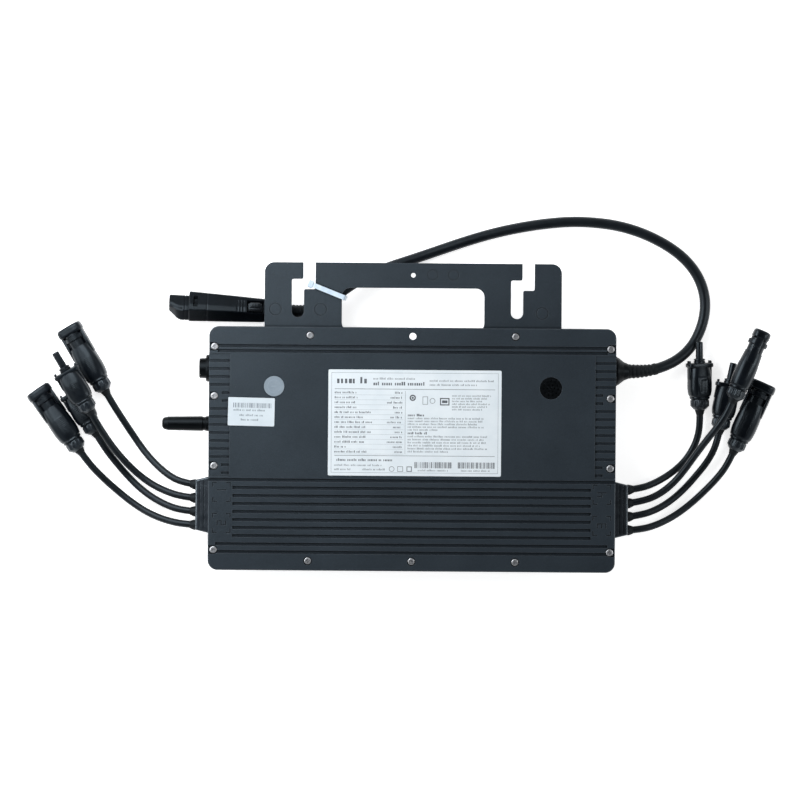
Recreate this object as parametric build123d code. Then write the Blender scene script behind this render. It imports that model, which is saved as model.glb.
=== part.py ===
from build123d import *
import math
import os

# A four-input micro inverter lying on its back: +Z is the side with the label, z = 0 is the surface
# it lies on, and the origin is below the middle of the cover plate. All sizes are in millimetres.

# ---- case stack, from the surface up
PLATE_X, PLATE_Y, PLATE_CORNER = 334.0, 200.0, 8.0
TOP_Z = 41.5
COVER_T, FLANGE_T, BRACKET_T, GASKET_T = 4.0, 4.0, 3.0, 1.0
COVER_Z = TOP_Z - COVER_T
FLANGE_Z = COVER_Z - FLANGE_T
BRACKET_Z = FLANGE_Z - BRACKET_T
TRAY_X, TRAY_Y, TRAY_CORNER = 306.0, 172.0, 12.0
TRAY_MID_Y = -2.0
WALL = 3.0
SIDE_X = TRAY_X / 2
PORT_Z = 17.0

# ---- cover relief
GROOVE_TOP_W, GROOVE_FLOOR_W, GROOVE_DEPTH = 2.6, 1.5, 1.4
FIN_PITCH = 6.57
LONG_FIN_TOP_Y, LONG_FIN_COUNT, LONG_FIN_END = -32.4, 7, 147.0
SIDE_FIN_TOP_Y, SIDE_FIN_COUNT, SIDE_FIN_START = 71.6, 15, 150.0
SIDE_FIELD_DROP = 0.4
EDGE_GROOVES = ((84.0, 160.0), (79.9, 160.0), (-78.6, 161.0), (-85.0, 161.0))
DIVIDER_Y = -25.9
MARK_DEPTH, MARK_STROKE = 0.5, 0.9
MARK_Y = (-36.0, -61.5)

# ---- screws
SIDE_SCREW_X = PLATE_X / 2 - 4.5
SIDE_SCREW_YS = (83.3, 42.8, -14.5, -83.4)
BOTTOM_SCREW_XS, BOTTOM_SCREW_Y = (-85.0, 0.0, 85.0), -92.0
BRACKET_SCREW_X, BRACKET_SCREW_Y = 84.3, 93.0
SCREW_R, SCREW_HEAD_R, SCREW_HEAD_H = 1.5, 3.0, 2.2
SCREW_SEAT_Z = COVER_Z + 1.5
SCREW_FIT = 0.05
CENTRE_HOLE_Y, CENTRE_HOLE_R = 92.8, 2.9

# ---- bracket
BRACKET_HALF_X, BRACKET_TOP_Y, BRACKET_LOW_Y = 122.0, 153.0, 86.0
HANDLE_HALF_X, HANDLE_LOW_Y, HANDLE_TOP_Y, HANDLE_CORNER = 58.5, 97.0, 132.4, 7.0
HOOK_PITCH, HOOK_STEP, HOOK_W = 180.0, 4.7, 10.0
THROAT_LOW_Y, HOOK_HIGH_Y, HOOK_LOW_Y = 131.0, 139.3, 107.8
EARTH_HOLE_Y, EARTH_HOLE_R = 143.0, 1.9
EARTH_MARKS = (
    (16.0, 143.5, 4.6), (33.0, 143.5, 4.6), (-113.0, 114.4, 5.2), (-76.0, 114.4, 5.2), (106.0, 112.4, 5.2),
)
EARTH_MARK_DEPTH = 0.35

# ---- labels and small items on the cover
LABEL_X, LABEL_Y, LABEL_AT = 142.0, 87.0, (2.0, 21.7)
SERIAL_X, SERIAL_Y, SERIAL_AT = 38.2, 23.2, (-132.1, 29.9)
LABEL_T = 0.15
DISC_AT, DISC_R = (-113.5, 51.0), 8.4
VENT_AT, VENT_R = (113.5, 51.0), 9.0

# ---- side fittings
PORT_Y, ANTENNA_Y = 65.5, 19.9
BLOCK_YS, BLOCK_LEN, BLOCK_END_LEN, BLOCK_END_X = {-1: -46.9, 1: -48.6}, 46.0, 41.0, 178.0
BLOCK_LOW_Z, BLOCK_HIGH_Z = 9.0, 25.0
LEAD_PITCH, LEAD_D = 11.1, 5.8
AC_D = 8.8
AC_EXIT_X = 178.0

# ---- DC connectors, measured along their axis from the lead end
WIDE_LEN, SLIM_LEN = 61.0, 56.0
NUT_LEN, NUT_R = 9.0, 7.3
BARREL_R, BORE_R = 6.8, 3.8
HEAD_LEN, HEAD_W, HEAD_H = 7.6, 21.6, 14.8
SHOULDER_AT, SHOULDER_W, SHOULDER_H = 35.0, 22.4, 12.6
NOSE_R, NOSE_BORE_R = 3.0, 1.9

# ---- AC connector
PLUG_REAR, PLUG_FRONT = (-105.0, 112.8, 14.0), (-201.0, 115.6, 14.0)
PLUG_LEN = math.dist(PLUG_REAR, PLUG_FRONT)

# ---- cord routes, each from its exit to the connector on its end
AC_ROUTE = [
    (178.0, 65.5, 17.0), (190.5, 65.5, 17.0), (205.0, 68.8, 14.8), (218.6, 75.4, 10.8), (229.4, 85.4, 7.4),
    (236.6, 98.2, 5.2), (240.6, 112.0, 4.4), (241.0, 126.0, 4.5), (237.4, 139.6, 4.4), (230.2, 151.8, 4.5),
    (219.6, 162.6, 4.4), (205.4, 172.0, 4.5), (188.4, 180.0, 4.4), (169.4, 185.6, 4.5), (150.0, 188.2, 4.4),
    (130.0, 188.8, 4.5), (109.0, 187.0, 4.4), (88.0, 183.6, 4.5), (67.0, 179.0, 4.4), (46.0, 172.8, 4.5),
    (25.0, 165.6, 4.4), (4.0, 158.2, 4.9), (-17.0, 151.2, 6.4), (-34.4, 144.4, 9.0), (-49.0, 136.4, 11.8),
    (-62.0, 126.8, 13.6), (-75.0, 117.6, 14.4), (-89.6, 112.35, 14.0), PLUG_REAR,
]
LEFT_LEADS = {
    "left_1": [
        (-178.0, -30.25, 17.0), (-189.4, -28.6, 16.4), (-200.6, -22.9, 12.8), (-211.4, -13.8, 8.0),
        (-221.0, -3.2, 4.4), (-229.6, 9.0, 3.2), (-238.2, 21.8, 5.4), (-246.7, 35.0, 9.0),
        (-253.5, 46.5, 9.0),
    ],
    "left_2": [
        (-178.0, -41.35, 17.0), (-189.4, -40.3, 16.4), (-202.0, -36.4, 13.4), (-214.6, -30.4, 10.2),
        (-226.6, -21.6, 9.4), (-237.2, -11.2, 11.8), (-246.2, -0.4, 16.6), (-253.2, 9.8, 22.2),
        (-259.2, 19.4, 26.0), (-265.2, 29.4, 27.2),
    ],
    "left_3": [
        (-178.0, -52.45, 17.0), (-189.4, -51.6, 16.2), (-201.6, -47.8, 12.4), (-213.6, -41.6, 7.8),
        (-225.0, -33.2, 4.4), (-235.3, -22.9, 3.2), (-245.2, -11.4, 5.4), (-254.1, 0.3, 9.0),
        (-261.1, 11.9, 9.0),
    ],
    "left_4": [
        (-178.0, -63.55, 17.0), (-189.4, -62.8, 16.2), (-202.4, -60.0, 12.4), (-216.0, -54.8, 7.8),
        (-229.2, -46.8, 4.4), (-241.8, -37.0, 3.2), (-254.6, -25.8, 5.4), (-266.6, -13.4, 9.0),
        (-274.4, -2.4, 9.0),
    ],
}
RIGHT_LEADS = {
    "right_1": [
        (178.0, -31.95, 17.0), (189.0, -30.6, 16.2), (201.0, -26.0, 12.6), (213.0, -18.9, 8.0),
        (224.0, -9.6, 4.6), (231.3, 1.0, 3.6), (235.7, 11.8, 5.6), (237.2, 23.0, 8.6),
        (237.0, 34.4, 9.4),
    ],
    "right_2": [
        (178.0, -43.05, 17.0), (190.6, -41.2, 16.8), (203.6, -35.8, 14.8), (215.0, -26.9, 13.6),
        (224.4, -15.6, 15.4), (232.8, -3.4, 19.6), (241.4, 8.4, 24.6), (250.4, 19.8, 28.6),
        (258.4, 31.4, 30.4), (263.6, 43.4, 29.6),
    ],
    "right_3": [
        (178.0, -54.15, 17.0), (189.4, -52.6, 16.2), (201.8, -48.2, 12.4), (213.8, -40.9, 7.8),
        (225.0, -31.0, 4.4), (235.0, -19.6, 3.2), (244.4, -7.6, 5.4), (250.9, 5.4, 9.0),
        (253.5, 18.3, 9.0),
    ],
    "right_4": [
        (178.0, -65.25, 17.0), (190.0, -64.4, 16.2), (203.0, -60.4, 12.4), (216.0, -53.8, 7.8),
        (228.4, -44.9, 4.4), (240.2, -34.2, 3.2), (251.1, -22.9, 5.4), (260.1, -11.0, 9.0),
        (265.5, 1.2, 9.0),
    ],
}
LEADS = {**LEFT_LEADS, **RIGHT_LEADS}
# Each DC connector lies in line with the last run of its lead, turned about its own axis by the roll.
CONNECTOR_KINDS = {
    "left_1": "wide", "left_2": "slim", "left_3": "slim", "left_4": "wide",
    "right_1": "slim", "right_2": "wide", "right_3": "slim", "right_4": "wide",
}
CONNECTOR_ROLLS = {
    "left_1": -12.0, "left_2": -8.0, "left_3": 0.0, "left_4": 10.0,
    "right_1": 24.0, "right_2": 90.0, "right_3": 6.0, "right_4": -10.0,
}

# ---- inside
BOARD_Z, BOARD_T = 8.0, 1.6
BOARD_SCREWS = [(x, y) for x in (-141, 0, 141) for y in (-78, 74)]
BACK_GROOVE_YS = [side * (7.0 + 8.0 * k) for side in (-1, 1) for k in range(9)]


# ---------------------------------------------------------------- helpers
def slab(width, height, corner, low, high, x=0.0, y=0.0):
    """A flat plate with rounded corners between two heights."""
    return extrude(Pos(x, y, low) * RectangleRounded(width, height, corner), amount=high - low)


def block(x0, x1, y0, y1, z0, z1):
    """A box between two corners."""
    return Pos((x0 + x1) / 2, (y0 + y1) / 2, (z0 + z1) / 2) * Box(x1 - x0, y1 - y0, z1 - z0)


def peg(x, y, low, high, radius):
    """An upright cylinder between two heights."""
    return Pos(x, y, (low + high) / 2) * Cylinder(radius, high - low)


def turned(points):
    """A solid of revolution about the local X axis, from (x, radius) points."""
    start, end = points[0][0], points[-1][0]
    outline = [(start, 0.0)] + list(points) + [(end, 0.0)]
    return revolve(make_face(Polyline(outline, close=True)), axis=Axis.X)


def ribs(count, radius, height, width, start, end):
    """Straight grip ribs round the local X axis."""
    rib = block(start, end, -width / 2, width / 2, radius - height, radius)
    return [Rot(360.0 * k / count, 0, 0) * rib for k in range(count)]


def across(x, y=0.0):
    """The plane across the X axis, with its own x along Y and its y along Z."""
    return Plane((x, y, 0), x_dir=(0, 1, 0), z_dir=(1, 0, 0))


def groove(x0, x1, y, top=TOP_Z, depth=GROOVE_DEPTH):
    """A cutter for one straight groove along X with sloping sides."""
    half_top, half_floor = GROOVE_TOP_W / 2, GROOVE_FLOOR_W / 2
    lip = 0.2
    flare = (half_top - half_floor) * lip / depth
    section = [
        (y - half_floor, top - depth), (y + half_floor, top - depth),
        (y + half_top + flare, top + lip), (y - half_top - flare, top + lip),
    ]
    return extrude(across(x0) * make_face(Polyline(section, close=True)), amount=x1 - x0)


def along(rear, tip):
    """The place whose local X axis runs from rear to tip, with its local Z kept as upright as it can be."""
    direction = (Vector(*tip) - Vector(*rear)).normalized()
    upright = Vector(0, 0, 1) - direction * direction.Z
    return Plane(Vector(*rear), x_dir=direction, z_dir=upright).location


def bend_radii(points):
    """The largest arc that each corner of a route has room for."""
    radii = []
    for before, here, after in zip(points, points[1:], points[2:]):
        first, second = Vector(*here) - Vector(*before), Vector(*after) - Vector(*here)
        turn = math.radians(first.get_angle(second))
        radii.append(0.45 * min(first.length, second.length) / math.tan(turn / 2))
    return radii


def tube(name, points, diameter):
    """A cord: straight runs joined by tangent arcs, with a round section."""
    radii = bend_radii(points)
    path = FilletPolyline(*points, radius=radii)
    section = Plane(path @ 0, z_dir=path % 0) * Circle(diameter / 2)
    cord = sweep(section, path=path)
    expected = math.pi * diameter ** 2 / 4 * path.length
    print(f"{name}: length {path.length:.1f}, tightest arc {min(radii):.1f}, "
          f"volume {cord.volume / expected:.4f} of section times length")
    print("   radii " + " ".join(f"{radius:.0f}" for radius in radii))
    return cord


# ---------------------------------------------------------------- case
def cover_screw_places():
    sides = [(side * SIDE_SCREW_X, y) for side in (-1, 1) for y in SIDE_SCREW_YS]
    return sides + [(x, BOTTOM_SCREW_Y) for x in BOTTOM_SCREW_XS]


def bracket_screw_places():
    return [(-BRACKET_SCREW_X, BRACKET_SCREW_Y), (BRACKET_SCREW_X, BRACKET_SCREW_Y)]


def screw(x, y, low):
    """A pan-head screw with a cross recess, its point at low."""
    top = SCREW_SEAT_Z + SCREW_HEAD_H
    body = peg(x, y, low, SCREW_SEAT_Z, SCREW_R) + peg(x, y, SCREW_SEAT_Z, top, SCREW_HEAD_R)
    body = fillet(body.edges().sort_by(Axis.Z)[-1], 0.9)
    bars = [block(x - a, x + a, y - b, y + b, top - 1.2, top + 1) for a, b in ((1.7, 0.35), (0.35, 1.7))]
    return body - bars


def mark_stroke(x0, x1, y0, y1):
    """A cutter for one engraved stroke between two points on the cover."""
    pad = MARK_STROKE / 2
    low_x, high_x = sorted((x0, x1))
    low_y, high_y = sorted((y0, y1))
    return block(low_x - pad, high_x + pad, low_y - pad, high_y + pad, TOP_Z - MARK_DEPTH, TOP_Z + 1)


def digit_strokes(digit, x, y):
    """Cutters for one upright-on-its-side digit, made of straight strokes."""
    half, long = 1.6, 3.4
    bars = {
        "top": (-long, -long, -half, half),
        "middle": (0, 0, -half, half),
        "bottom": (long, long, -half, half),
        "upper_left": (-long, 0, -half, -half),
        "upper_right": (-long, 0, half, half),
        "lower_left": (0, long, -half, -half),
        "lower_right": (0, long, half, half),
    }
    shapes = {
        1: ("upper_right", "lower_right"),
        2: ("top", "upper_right", "middle", "lower_left", "bottom"),
        3: ("top", "upper_right", "middle", "lower_right", "bottom"),
        4: ("upper_left", "upper_right", "middle", "lower_right"),
    }
    cutters = []
    for name in shapes[digit]:
        x0, x1, y0, y1 = bars[name]
        cutters.append(mark_stroke(x + x0, x + x1, y + y0, y + y1))
    return cutters


def port_mark(digit, x, y):
    """Four corner strokes round a port number."""
    half_x, half_y, leg = 7.2, 7.8, 3.0
    cutters = digit_strokes(digit, x, y)
    for sx in (-1, 1):
        for sy in (-1, 1):
            cx, cy = x + sx * half_x, y + sy * half_y
            cutters.append(mark_stroke(cx, cx - sx * leg, cy, cy))
            cutters.append(mark_stroke(cx, cx, cy, cy - sy * leg))
    return cutters


def cover_grooves():
    edge = PLATE_X / 2 + 1
    cutters = [groove(-half, half, y) for y, half in EDGE_GROOVES]
    cutters.append(groove(-edge, edge, DIVIDER_Y))
    for k in range(LONG_FIN_COUNT):
        cutters.append(groove(-LONG_FIN_END, LONG_FIN_END, LONG_FIN_TOP_Y - k * FIN_PITCH))
    for k in range(SIDE_FIN_COUNT):
        y = SIDE_FIN_TOP_Y - k * FIN_PITCH
        beside_screw = any(abs(y - screw_y) < 6.0 for screw_y in SIDE_SCREW_YS)
        end = SIDE_SCREW_X - 6.0 if beside_screw else edge
        cutters += [groove(SIDE_FIN_START, end, y), groove(-end, -SIDE_FIN_START, y)]
    return cutters


def cover_plate():
    plate = slab(PLATE_X, PLATE_Y, PLATE_CORNER, COVER_Z, TOP_Z)
    plate = chamfer(plate.faces().sort_by(Axis.Z)[-1].edges(), 0.7)
    field_low, field_high = DIVIDER_Y + 3.0, SIDE_FIN_TOP_Y + 6.0
    for side in (-1, 1):
        x0, x1 = sorted((side * SIDE_FIN_START, side * (PLATE_X / 2 + 1)))
        plate -= block(x0, x1, field_low, field_high, TOP_Z - SIDE_FIELD_DROP, TOP_Z + 1)
    plate -= cover_grooves()
    for x, y in cover_screw_places() + bracket_screw_places():
        plate -= peg(x, y, SCREW_SEAT_Z, TOP_Z + 1, SCREW_HEAD_R + 0.5)
        plate -= peg(x, y, COVER_Z - 1, SCREW_SEAT_Z + 1, SCREW_R + SCREW_FIT)
        if abs(x) == SIDE_SCREW_X:
            x0, x1 = sorted((x, math.copysign(PLATE_X / 2 + 1, x)))
            plate -= block(x0, x1, y - SCREW_HEAD_R - 0.5, y + SCREW_HEAD_R + 0.5, SCREW_SEAT_Z, TOP_Z + 1)
    plate -= peg(0, CENTRE_HOLE_Y, COVER_Z - 1, TOP_Z + 1, CENTRE_HOLE_R)
    plate -= peg(*VENT_AT, TOP_Z - 1.6, TOP_Z + 1, VENT_R + 0.2)
    plate -= peg(*VENT_AT, COVER_Z - 1, TOP_Z, 5.1)
    mark_x = LONG_FIN_END + 9.0
    for digit, side, y in ((1, -1, MARK_Y[0]), (2, -1, MARK_Y[1]), (4, 1, MARK_Y[0]), (3, 1, MARK_Y[1])):
        plate -= port_mark(digit, side * mark_x, y)
    return plate


def gasket_ring(low, high):
    """The seal's track, over the tray's wall."""
    outer = slab(TRAY_X + 4, TRAY_Y + 4, TRAY_CORNER + 2, low, high, y=TRAY_MID_Y)
    inner = slab(TRAY_X - 2, TRAY_Y - 2, TRAY_CORNER - 1, low, high, y=TRAY_MID_Y)
    return outer - inner


def cover_gasket():
    return gasket_ring(COVER_Z - GASKET_T, COVER_Z)


def screw_boss(x, y):
    """A boss under the flange with a web to the tray's wall."""
    boss = peg(x, y, FLANGE_Z - 12, FLANGE_Z, 4.4)
    if abs(x) == SIDE_SCREW_X:
        x0, x1 = sorted((x, math.copysign(SIDE_X - 1, x)))
        return boss + block(x0, x1, y - 1.5, y + 1.5, FLANGE_Z - 12, FLANGE_Z)
    wall_y = TRAY_MID_Y - TRAY_Y / 2
    return boss + block(x - 1.5, x + 1.5, y, wall_y + 1, FLANGE_Z - 12, FLANGE_Z)


def housing_base():
    """The deep tray, with its flange, screw bosses, side openings, board posts and back fins."""
    tray = slab(TRAY_X, TRAY_Y, TRAY_CORNER, 0, FLANGE_Z + 1, y=TRAY_MID_Y)
    tray = chamfer(tray.faces().sort_by(Axis.Z)[0].edges(), 1.2)
    tray += slab(PLATE_X, PLATE_Y, PLATE_CORNER, FLANGE_Z, COVER_Z)
    tray += [screw_boss(x, y) for x, y in cover_screw_places()]
    tray -= slab(TRAY_X - 2 * WALL, TRAY_Y - 2 * WALL, TRAY_CORNER - WALL, WALL, COVER_Z + 1, y=TRAY_MID_Y)
    tray -= gasket_ring(COVER_Z - GASKET_T, COVER_Z + 1)
    hole_r = SCREW_R + SCREW_FIT
    tray -= [peg(x, y, FLANGE_Z - 9, COVER_Z + 1, hole_r) for x, y in cover_screw_places()]
    tray -= [peg(x, y, FLANGE_Z - 1, COVER_Z + 1, hole_r) for x, y in bracket_screw_places()]
    tray -= peg(0, CENTRE_HOLE_Y, FLANGE_Z - 1, COVER_Z + 1, CENTRE_HOLE_R)
    port_hole = Rot(0, 90, 0) * Cylinder(7.05, 8)
    tray -= [Pos(side * (SIDE_X - 1), PORT_Y, PORT_Z) * port_hole for side in (-1, 1)]
    tray -= Pos(-SIDE_X + 1, ANTENNA_Y, PORT_Z) * Rot(0, 90, 0) * Cylinder(3.3, 8)
    for side in (-1, 1):
        x0, x1 = sorted((side * (SIDE_X - WALL - 1), side * (SIDE_X + 1)))
        tray -= block(x0, x1, BLOCK_YS[side] - 18, BLOCK_YS[side] + 18, BLOCK_LOW_Z + 4, BLOCK_HIGH_Z - 4)
    tray += [peg(x, y, WALL - 0.5, BOARD_Z, 3.5) for x, y in BOARD_SCREWS]
    tray -= [peg(x, y, WALL + 0.5, BOARD_Z + 1, 1.3 + SCREW_FIT) for x, y in BOARD_SCREWS]
    fins = [block(-130, 130, y - 1.6, y + 1.6, -1, 1.2) for y in BACK_GROOVE_YS]
    return tray - fins


def mounting_bracket():
    """The hanging plate: a handle opening between two stepped hook slots."""
    mid_y = (BRACKET_TOP_Y + BRACKET_LOW_Y) / 2
    outline = Pos(0, mid_y) * Rectangle(2 * BRACKET_HALF_X, BRACKET_TOP_Y - BRACKET_LOW_Y)
    outline = fillet(outline.vertices().group_by(Axis.Y)[-1], 8.0)
    outline = fillet(outline.vertices().group_by(Axis.Y)[0], 4.0)
    handle_mid, handle_height = (HANDLE_TOP_Y + HANDLE_LOW_Y) / 2, HANDLE_TOP_Y - HANDLE_LOW_Y
    outline -= Pos(0, handle_mid) * RectangleRounded(2 * HANDLE_HALF_X, handle_height, HANDLE_CORNER)
    outline -= [hook_slot(-HOOK_PITCH / 2), hook_slot(HOOK_PITCH / 2)]
    outline -= [Pos(x, y) * Circle(SCREW_R + SCREW_FIT) for x, y in bracket_screw_places()]
    outline -= Pos(0, CENTRE_HOLE_Y) * Circle(CENTRE_HOLE_R)
    outline -= Pos(0, EARTH_HOLE_Y) * Circle(EARTH_HOLE_R)
    plate = extrude(Pos(0, 0, BRACKET_Z) * outline, amount=BRACKET_T)
    for x, y, radius in EARTH_MARKS:
        low = FLANGE_Z - EARTH_MARK_DEPTH
        plate -= peg(x, y, low, FLANGE_Z + 1, radius) - peg(x, y, low, FLANGE_Z + 1, radius - 0.8)
    return plate


def hook_slot(x):
    """One keyed slot: a throat open at the top edge that steps left into a hanging slot."""
    half = HOOK_W / 2
    above = BRACKET_TOP_Y + 20
    throat = Pos(x + HOOK_STEP, (above + THROAT_LOW_Y) / 2) * Rectangle(HOOK_W, above - THROAT_LOW_Y)
    seat_y = HOOK_LOW_Y + half
    rest = Pos(x - HOOK_STEP, (HOOK_HIGH_Y + seat_y) / 2) * Rectangle(HOOK_W, HOOK_HIGH_Y - seat_y)
    rest += Pos(x - HOOK_STEP, seat_y) * Circle(half)
    slot = throat + rest
    steps = slot.vertices().filter_by(lambda v: THROAT_LOW_Y - 0.1 < v.Y < HOOK_HIGH_Y + 0.1)
    return fillet(steps, 1.5)


# ---------------------------------------------------------------- things on the cover
def vent_plug():
    """A breather with rings of small holes."""
    plug = peg(*VENT_AT, TOP_Z - 1.6, TOP_Z - 0.1, VENT_R) + peg(*VENT_AT, COVER_Z - 3, TOP_Z - 1.6, 5.0)
    plug = fillet(plug.edges().sort_by(Axis.Z)[-1], 0.5)
    x, y = VENT_AT
    holes = [peg(x, y, TOP_Z - 1.0, TOP_Z + 1, 0.7)]
    for ring, (count, radius) in enumerate(((6, 3.0), (11, 6.0))):
        for k in range(count):
            turn = 2 * math.pi * k / count + 0.4 * ring
            hole_x, hole_y = x + radius * math.cos(turn), y + radius * math.sin(turn)
            holes.append(peg(hole_x, hole_y, TOP_Z - 1.0, TOP_Z + 1, 0.7))
    return plug - holes


def indicator_disc():
    disc = peg(*DISC_AT, TOP_Z, TOP_Z + 0.5, DISC_R)
    return chamfer(disc.edges().sort_by(Axis.Z)[-1], 0.25)


def labels():
    rating = slab(LABEL_X, LABEL_Y, 1.2, TOP_Z, TOP_Z + LABEL_T, *LABEL_AT)
    serial = slab(SERIAL_X, SERIAL_Y, 0.8, 0, LABEL_T)
    serial = Pos(*SERIAL_AT, TOP_Z) * Rot(0, 0, -1.0) * serial
    return rating, serial


# ---------------------------------------------------------------- side fittings
def ac_gland():
    """The cable gland on the right: a hex body in the wall and a tapered dome nut."""
    seat = Pos(SIDE_X, PORT_Y, PORT_Z)
    hexagon = extrude(Plane.YZ * RegularPolygon(12.2, 6), amount=6)
    body = seat * (hexagon + turned([(-WALL - 4, 7.0), (6, 7.0)]) + turned([(6, 9.0), (9, 9.0)]))
    end = AC_EXIT_X - SIDE_X
    nut = turned([(9, 11.4), (16, 11.4), (17, 10.8), (21, 7.6), (end - 1, 6.4), (end, 5.8)])
    nut += ribs(12, 12.0, 1.0, 1.8, 9.6, 15.4)
    return body, seat * nut


def ac_port():
    """The spare AC port on the left: a threaded socket in the wall and its screw cap."""
    seat = Pos(-SIDE_X, PORT_Y, PORT_Z) * Rot(0, 0, 180)
    socket = turned([(-WALL - 4, 7.0), (0, 7.0), (0, 11.0), (3, 11.0), (3, 9.0), (14, 9.0)])
    bore = turned([(2, 6.5), (15, 6.5)])
    pin = turned([(1, 1.1), (9, 1.1)])
    contacts = [Pos(0, 3.2 * math.cos(turn), 3.2 * math.sin(turn)) * pin for turn in (0, 2.09, 4.19)]
    cap = turned([(3.6, 11.2), (15.5, 11.2), (17, 10.6), (17, 8.4), (22, 8.2), (22.6, 7.4)])
    cap += ribs(16, 11.6, 1.0, 1.4, 4.4, 14.6)
    cap -= turned([(3, 9.08), (14.4, 9.08)])
    return seat * ((socket - bore) + contacts), seat * cap


def antenna():
    """The aerial on the left: a bulkhead jack and a rod that turns on its spigot."""
    seat = Pos(-SIDE_X, ANTENNA_Y, PORT_Z) * Rot(0, 0, 180)
    jack = extrude(Plane.YZ * RegularPolygon(6.4, 6), amount=3)
    jack += turned([(-WALL - 3, 3.2), (3, 3.2)])
    jack += turned([(3, 4.6), (5, 4.6)])
    jack += turned([(5, 3.0), (12, 3.0)])
    collar = [(5.3, 5.6), (6, 6.0), (17, 6.0), (17.6, 5.5), (19, 5.5), (19.6, 6.1)]
    rod = turned(collar + [(48, 5.7), (51.5, 4.8), (52.7, 3.4), (53, 2.0)])
    rod += ribs(14, 6.2, 0.6, 1.0, 7, 16)
    rod -= turned([(5, 3.06), (12.4, 3.06)])
    return seat * jack, seat * rod


def lead_block(side):
    """The moulded block on a side wall that four DC leads come out of."""
    half, end_half, knee = BLOCK_LEN / 2, BLOCK_END_LEN / 2, BLOCK_END_X - 10
    outline = [(SIDE_X, -half), (knee, -half), (BLOCK_END_X, -end_half),
               (BLOCK_END_X, end_half), (knee, half), (SIDE_X, half)]
    base = Pos(0, 0, BLOCK_LOW_Z) * make_face(Polyline(outline, close=True))
    body = extrude(base, amount=BLOCK_HIGH_Z - BLOCK_LOW_Z)
    body = fillet(body.edges().filter_by(lambda edge: edge.center().X > SIDE_X + 1), 1.6)
    for x in (BLOCK_END_X - 7.0, BLOCK_END_X - 3.6):
        body -= block(x - 0.5, x + 0.5, 3 - half, half - 3, BLOCK_HIGH_Z - 0.6, BLOCK_HIGH_Z + 1)
    body += block(SIDE_X - WALL - 2, SIDE_X, -17.9, 17.9, BLOCK_LOW_Z + 4.1, BLOCK_HIGH_Z - 4.1)
    body = Pos(0, BLOCK_YS[side], 0) * body
    return body if side > 0 else mirror(body, about=Plane.YZ)


# ---------------------------------------------------------------- connectors
def oval_body(stations):
    """A smooth body through ovals across the local X axis, given as (x, half width, half height)."""
    return loft([across(x) * Ellipse(a, b) for x, a, b in stations])


def both_sides(x0, x1, near, far, half_height):
    """A pair of boxes on either side of the local X axis."""
    right = block(x0, x1, near, far, -half_height, half_height)
    return [right, mirror(right, about=Plane.XZ)]


def dc_nut():
    """The ribbed compression nut on the lead's end of a DC connector."""
    dome = [(0, 4.4), (0.9, 5.6), (2.2, NUT_R - 0.5), (2.9, NUT_R)]
    nut = turned(dome + [(NUT_LEN - 1, NUT_R), (NUT_LEN, NUT_R - 0.4)])
    return nut + ribs(10, NUT_R + 0.5, 1.0, 1.7, 2.6, NUT_LEN - 0.9)


def wide_connector():
    """The socket half: an oval grip, a barrel and two latch arms joined by a flared head."""
    head_start = WIDE_LEN - HEAD_LEN
    body = oval_body([(NUT_LEN, 7.9, 7.6), (19, 10.1, 8.6), (29, 9.9, 8.4), (42, 8.3, 7.4)])
    body += turned([(40, BARREL_R), (WIDE_LEN, BARREL_R)])
    body += turned([(head_start - 5.2, 8.3), (head_start - 1.4, 8.3)])
    body += both_sides(34, head_start + 1, 7.7, 9.9, 3.2)
    body += both_sides(36, head_start + 1, 5.0, 8.5, 0.8)
    head = extrude(across(head_start) * RectangleRounded(HEAD_W, HEAD_H, 6.4), amount=HEAD_LEN)
    body += fillet(head.edges(), 2.2)
    return body - turned([(WIDE_LEN - 13, BORE_R), (WIDE_LEN + 1, BORE_R)])


def slim_connector():
    """The plug half: an oval grip, a latch shoulder with two prongs and a thin nose."""
    body = oval_body([(NUT_LEN, 7.9, 7.6), (17, 9.9, 8.5), (26, 9.7, 8.2), (36, 8.4, 6.6)])
    shoulder = extrude(across(SHOULDER_AT) * RectangleRounded(SHOULDER_W, SHOULDER_H, 3.4), amount=3.6)
    body += fillet(shoulder.edges(), 0.8)
    half = SHOULDER_W / 2
    body += both_sides(SHOULDER_AT - 9, SHOULDER_AT + 1, half - 2.4, half - 0.9, 2.4)
    body += both_sides(SHOULDER_AT + 2, SHOULDER_AT + 5.6, half - 2.6, half - 0.8, 2.2)
    neck_end = SHOULDER_AT + 7.0
    body += turned([(SHOULDER_AT, 4.8), (neck_end, 4.8), (neck_end + 0.6, NOSE_R)])
    body += turned([(neck_end, NOSE_R), (SLIM_LEN - 0.8, NOSE_R - 0.1), (SLIM_LEN, NOSE_R - 0.5)])
    return body - turned([(SLIM_LEN - 9, NOSE_BORE_R), (SLIM_LEN + 1, NOSE_BORE_R)])


def contact_pin():
    return turned([(WIDE_LEN - 13, 2.0), (WIDE_LEN - 4, 2.0), (WIDE_LEN - 3, 1.2)])


def contact_socket():
    outer = turned([(SLIM_LEN - 9, NOSE_BORE_R), (SLIM_LEN - 1, NOSE_BORE_R)])
    return outer - turned([(SLIM_LEN - 8, 1.2), (SLIM_LEN, 1.2)])


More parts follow.
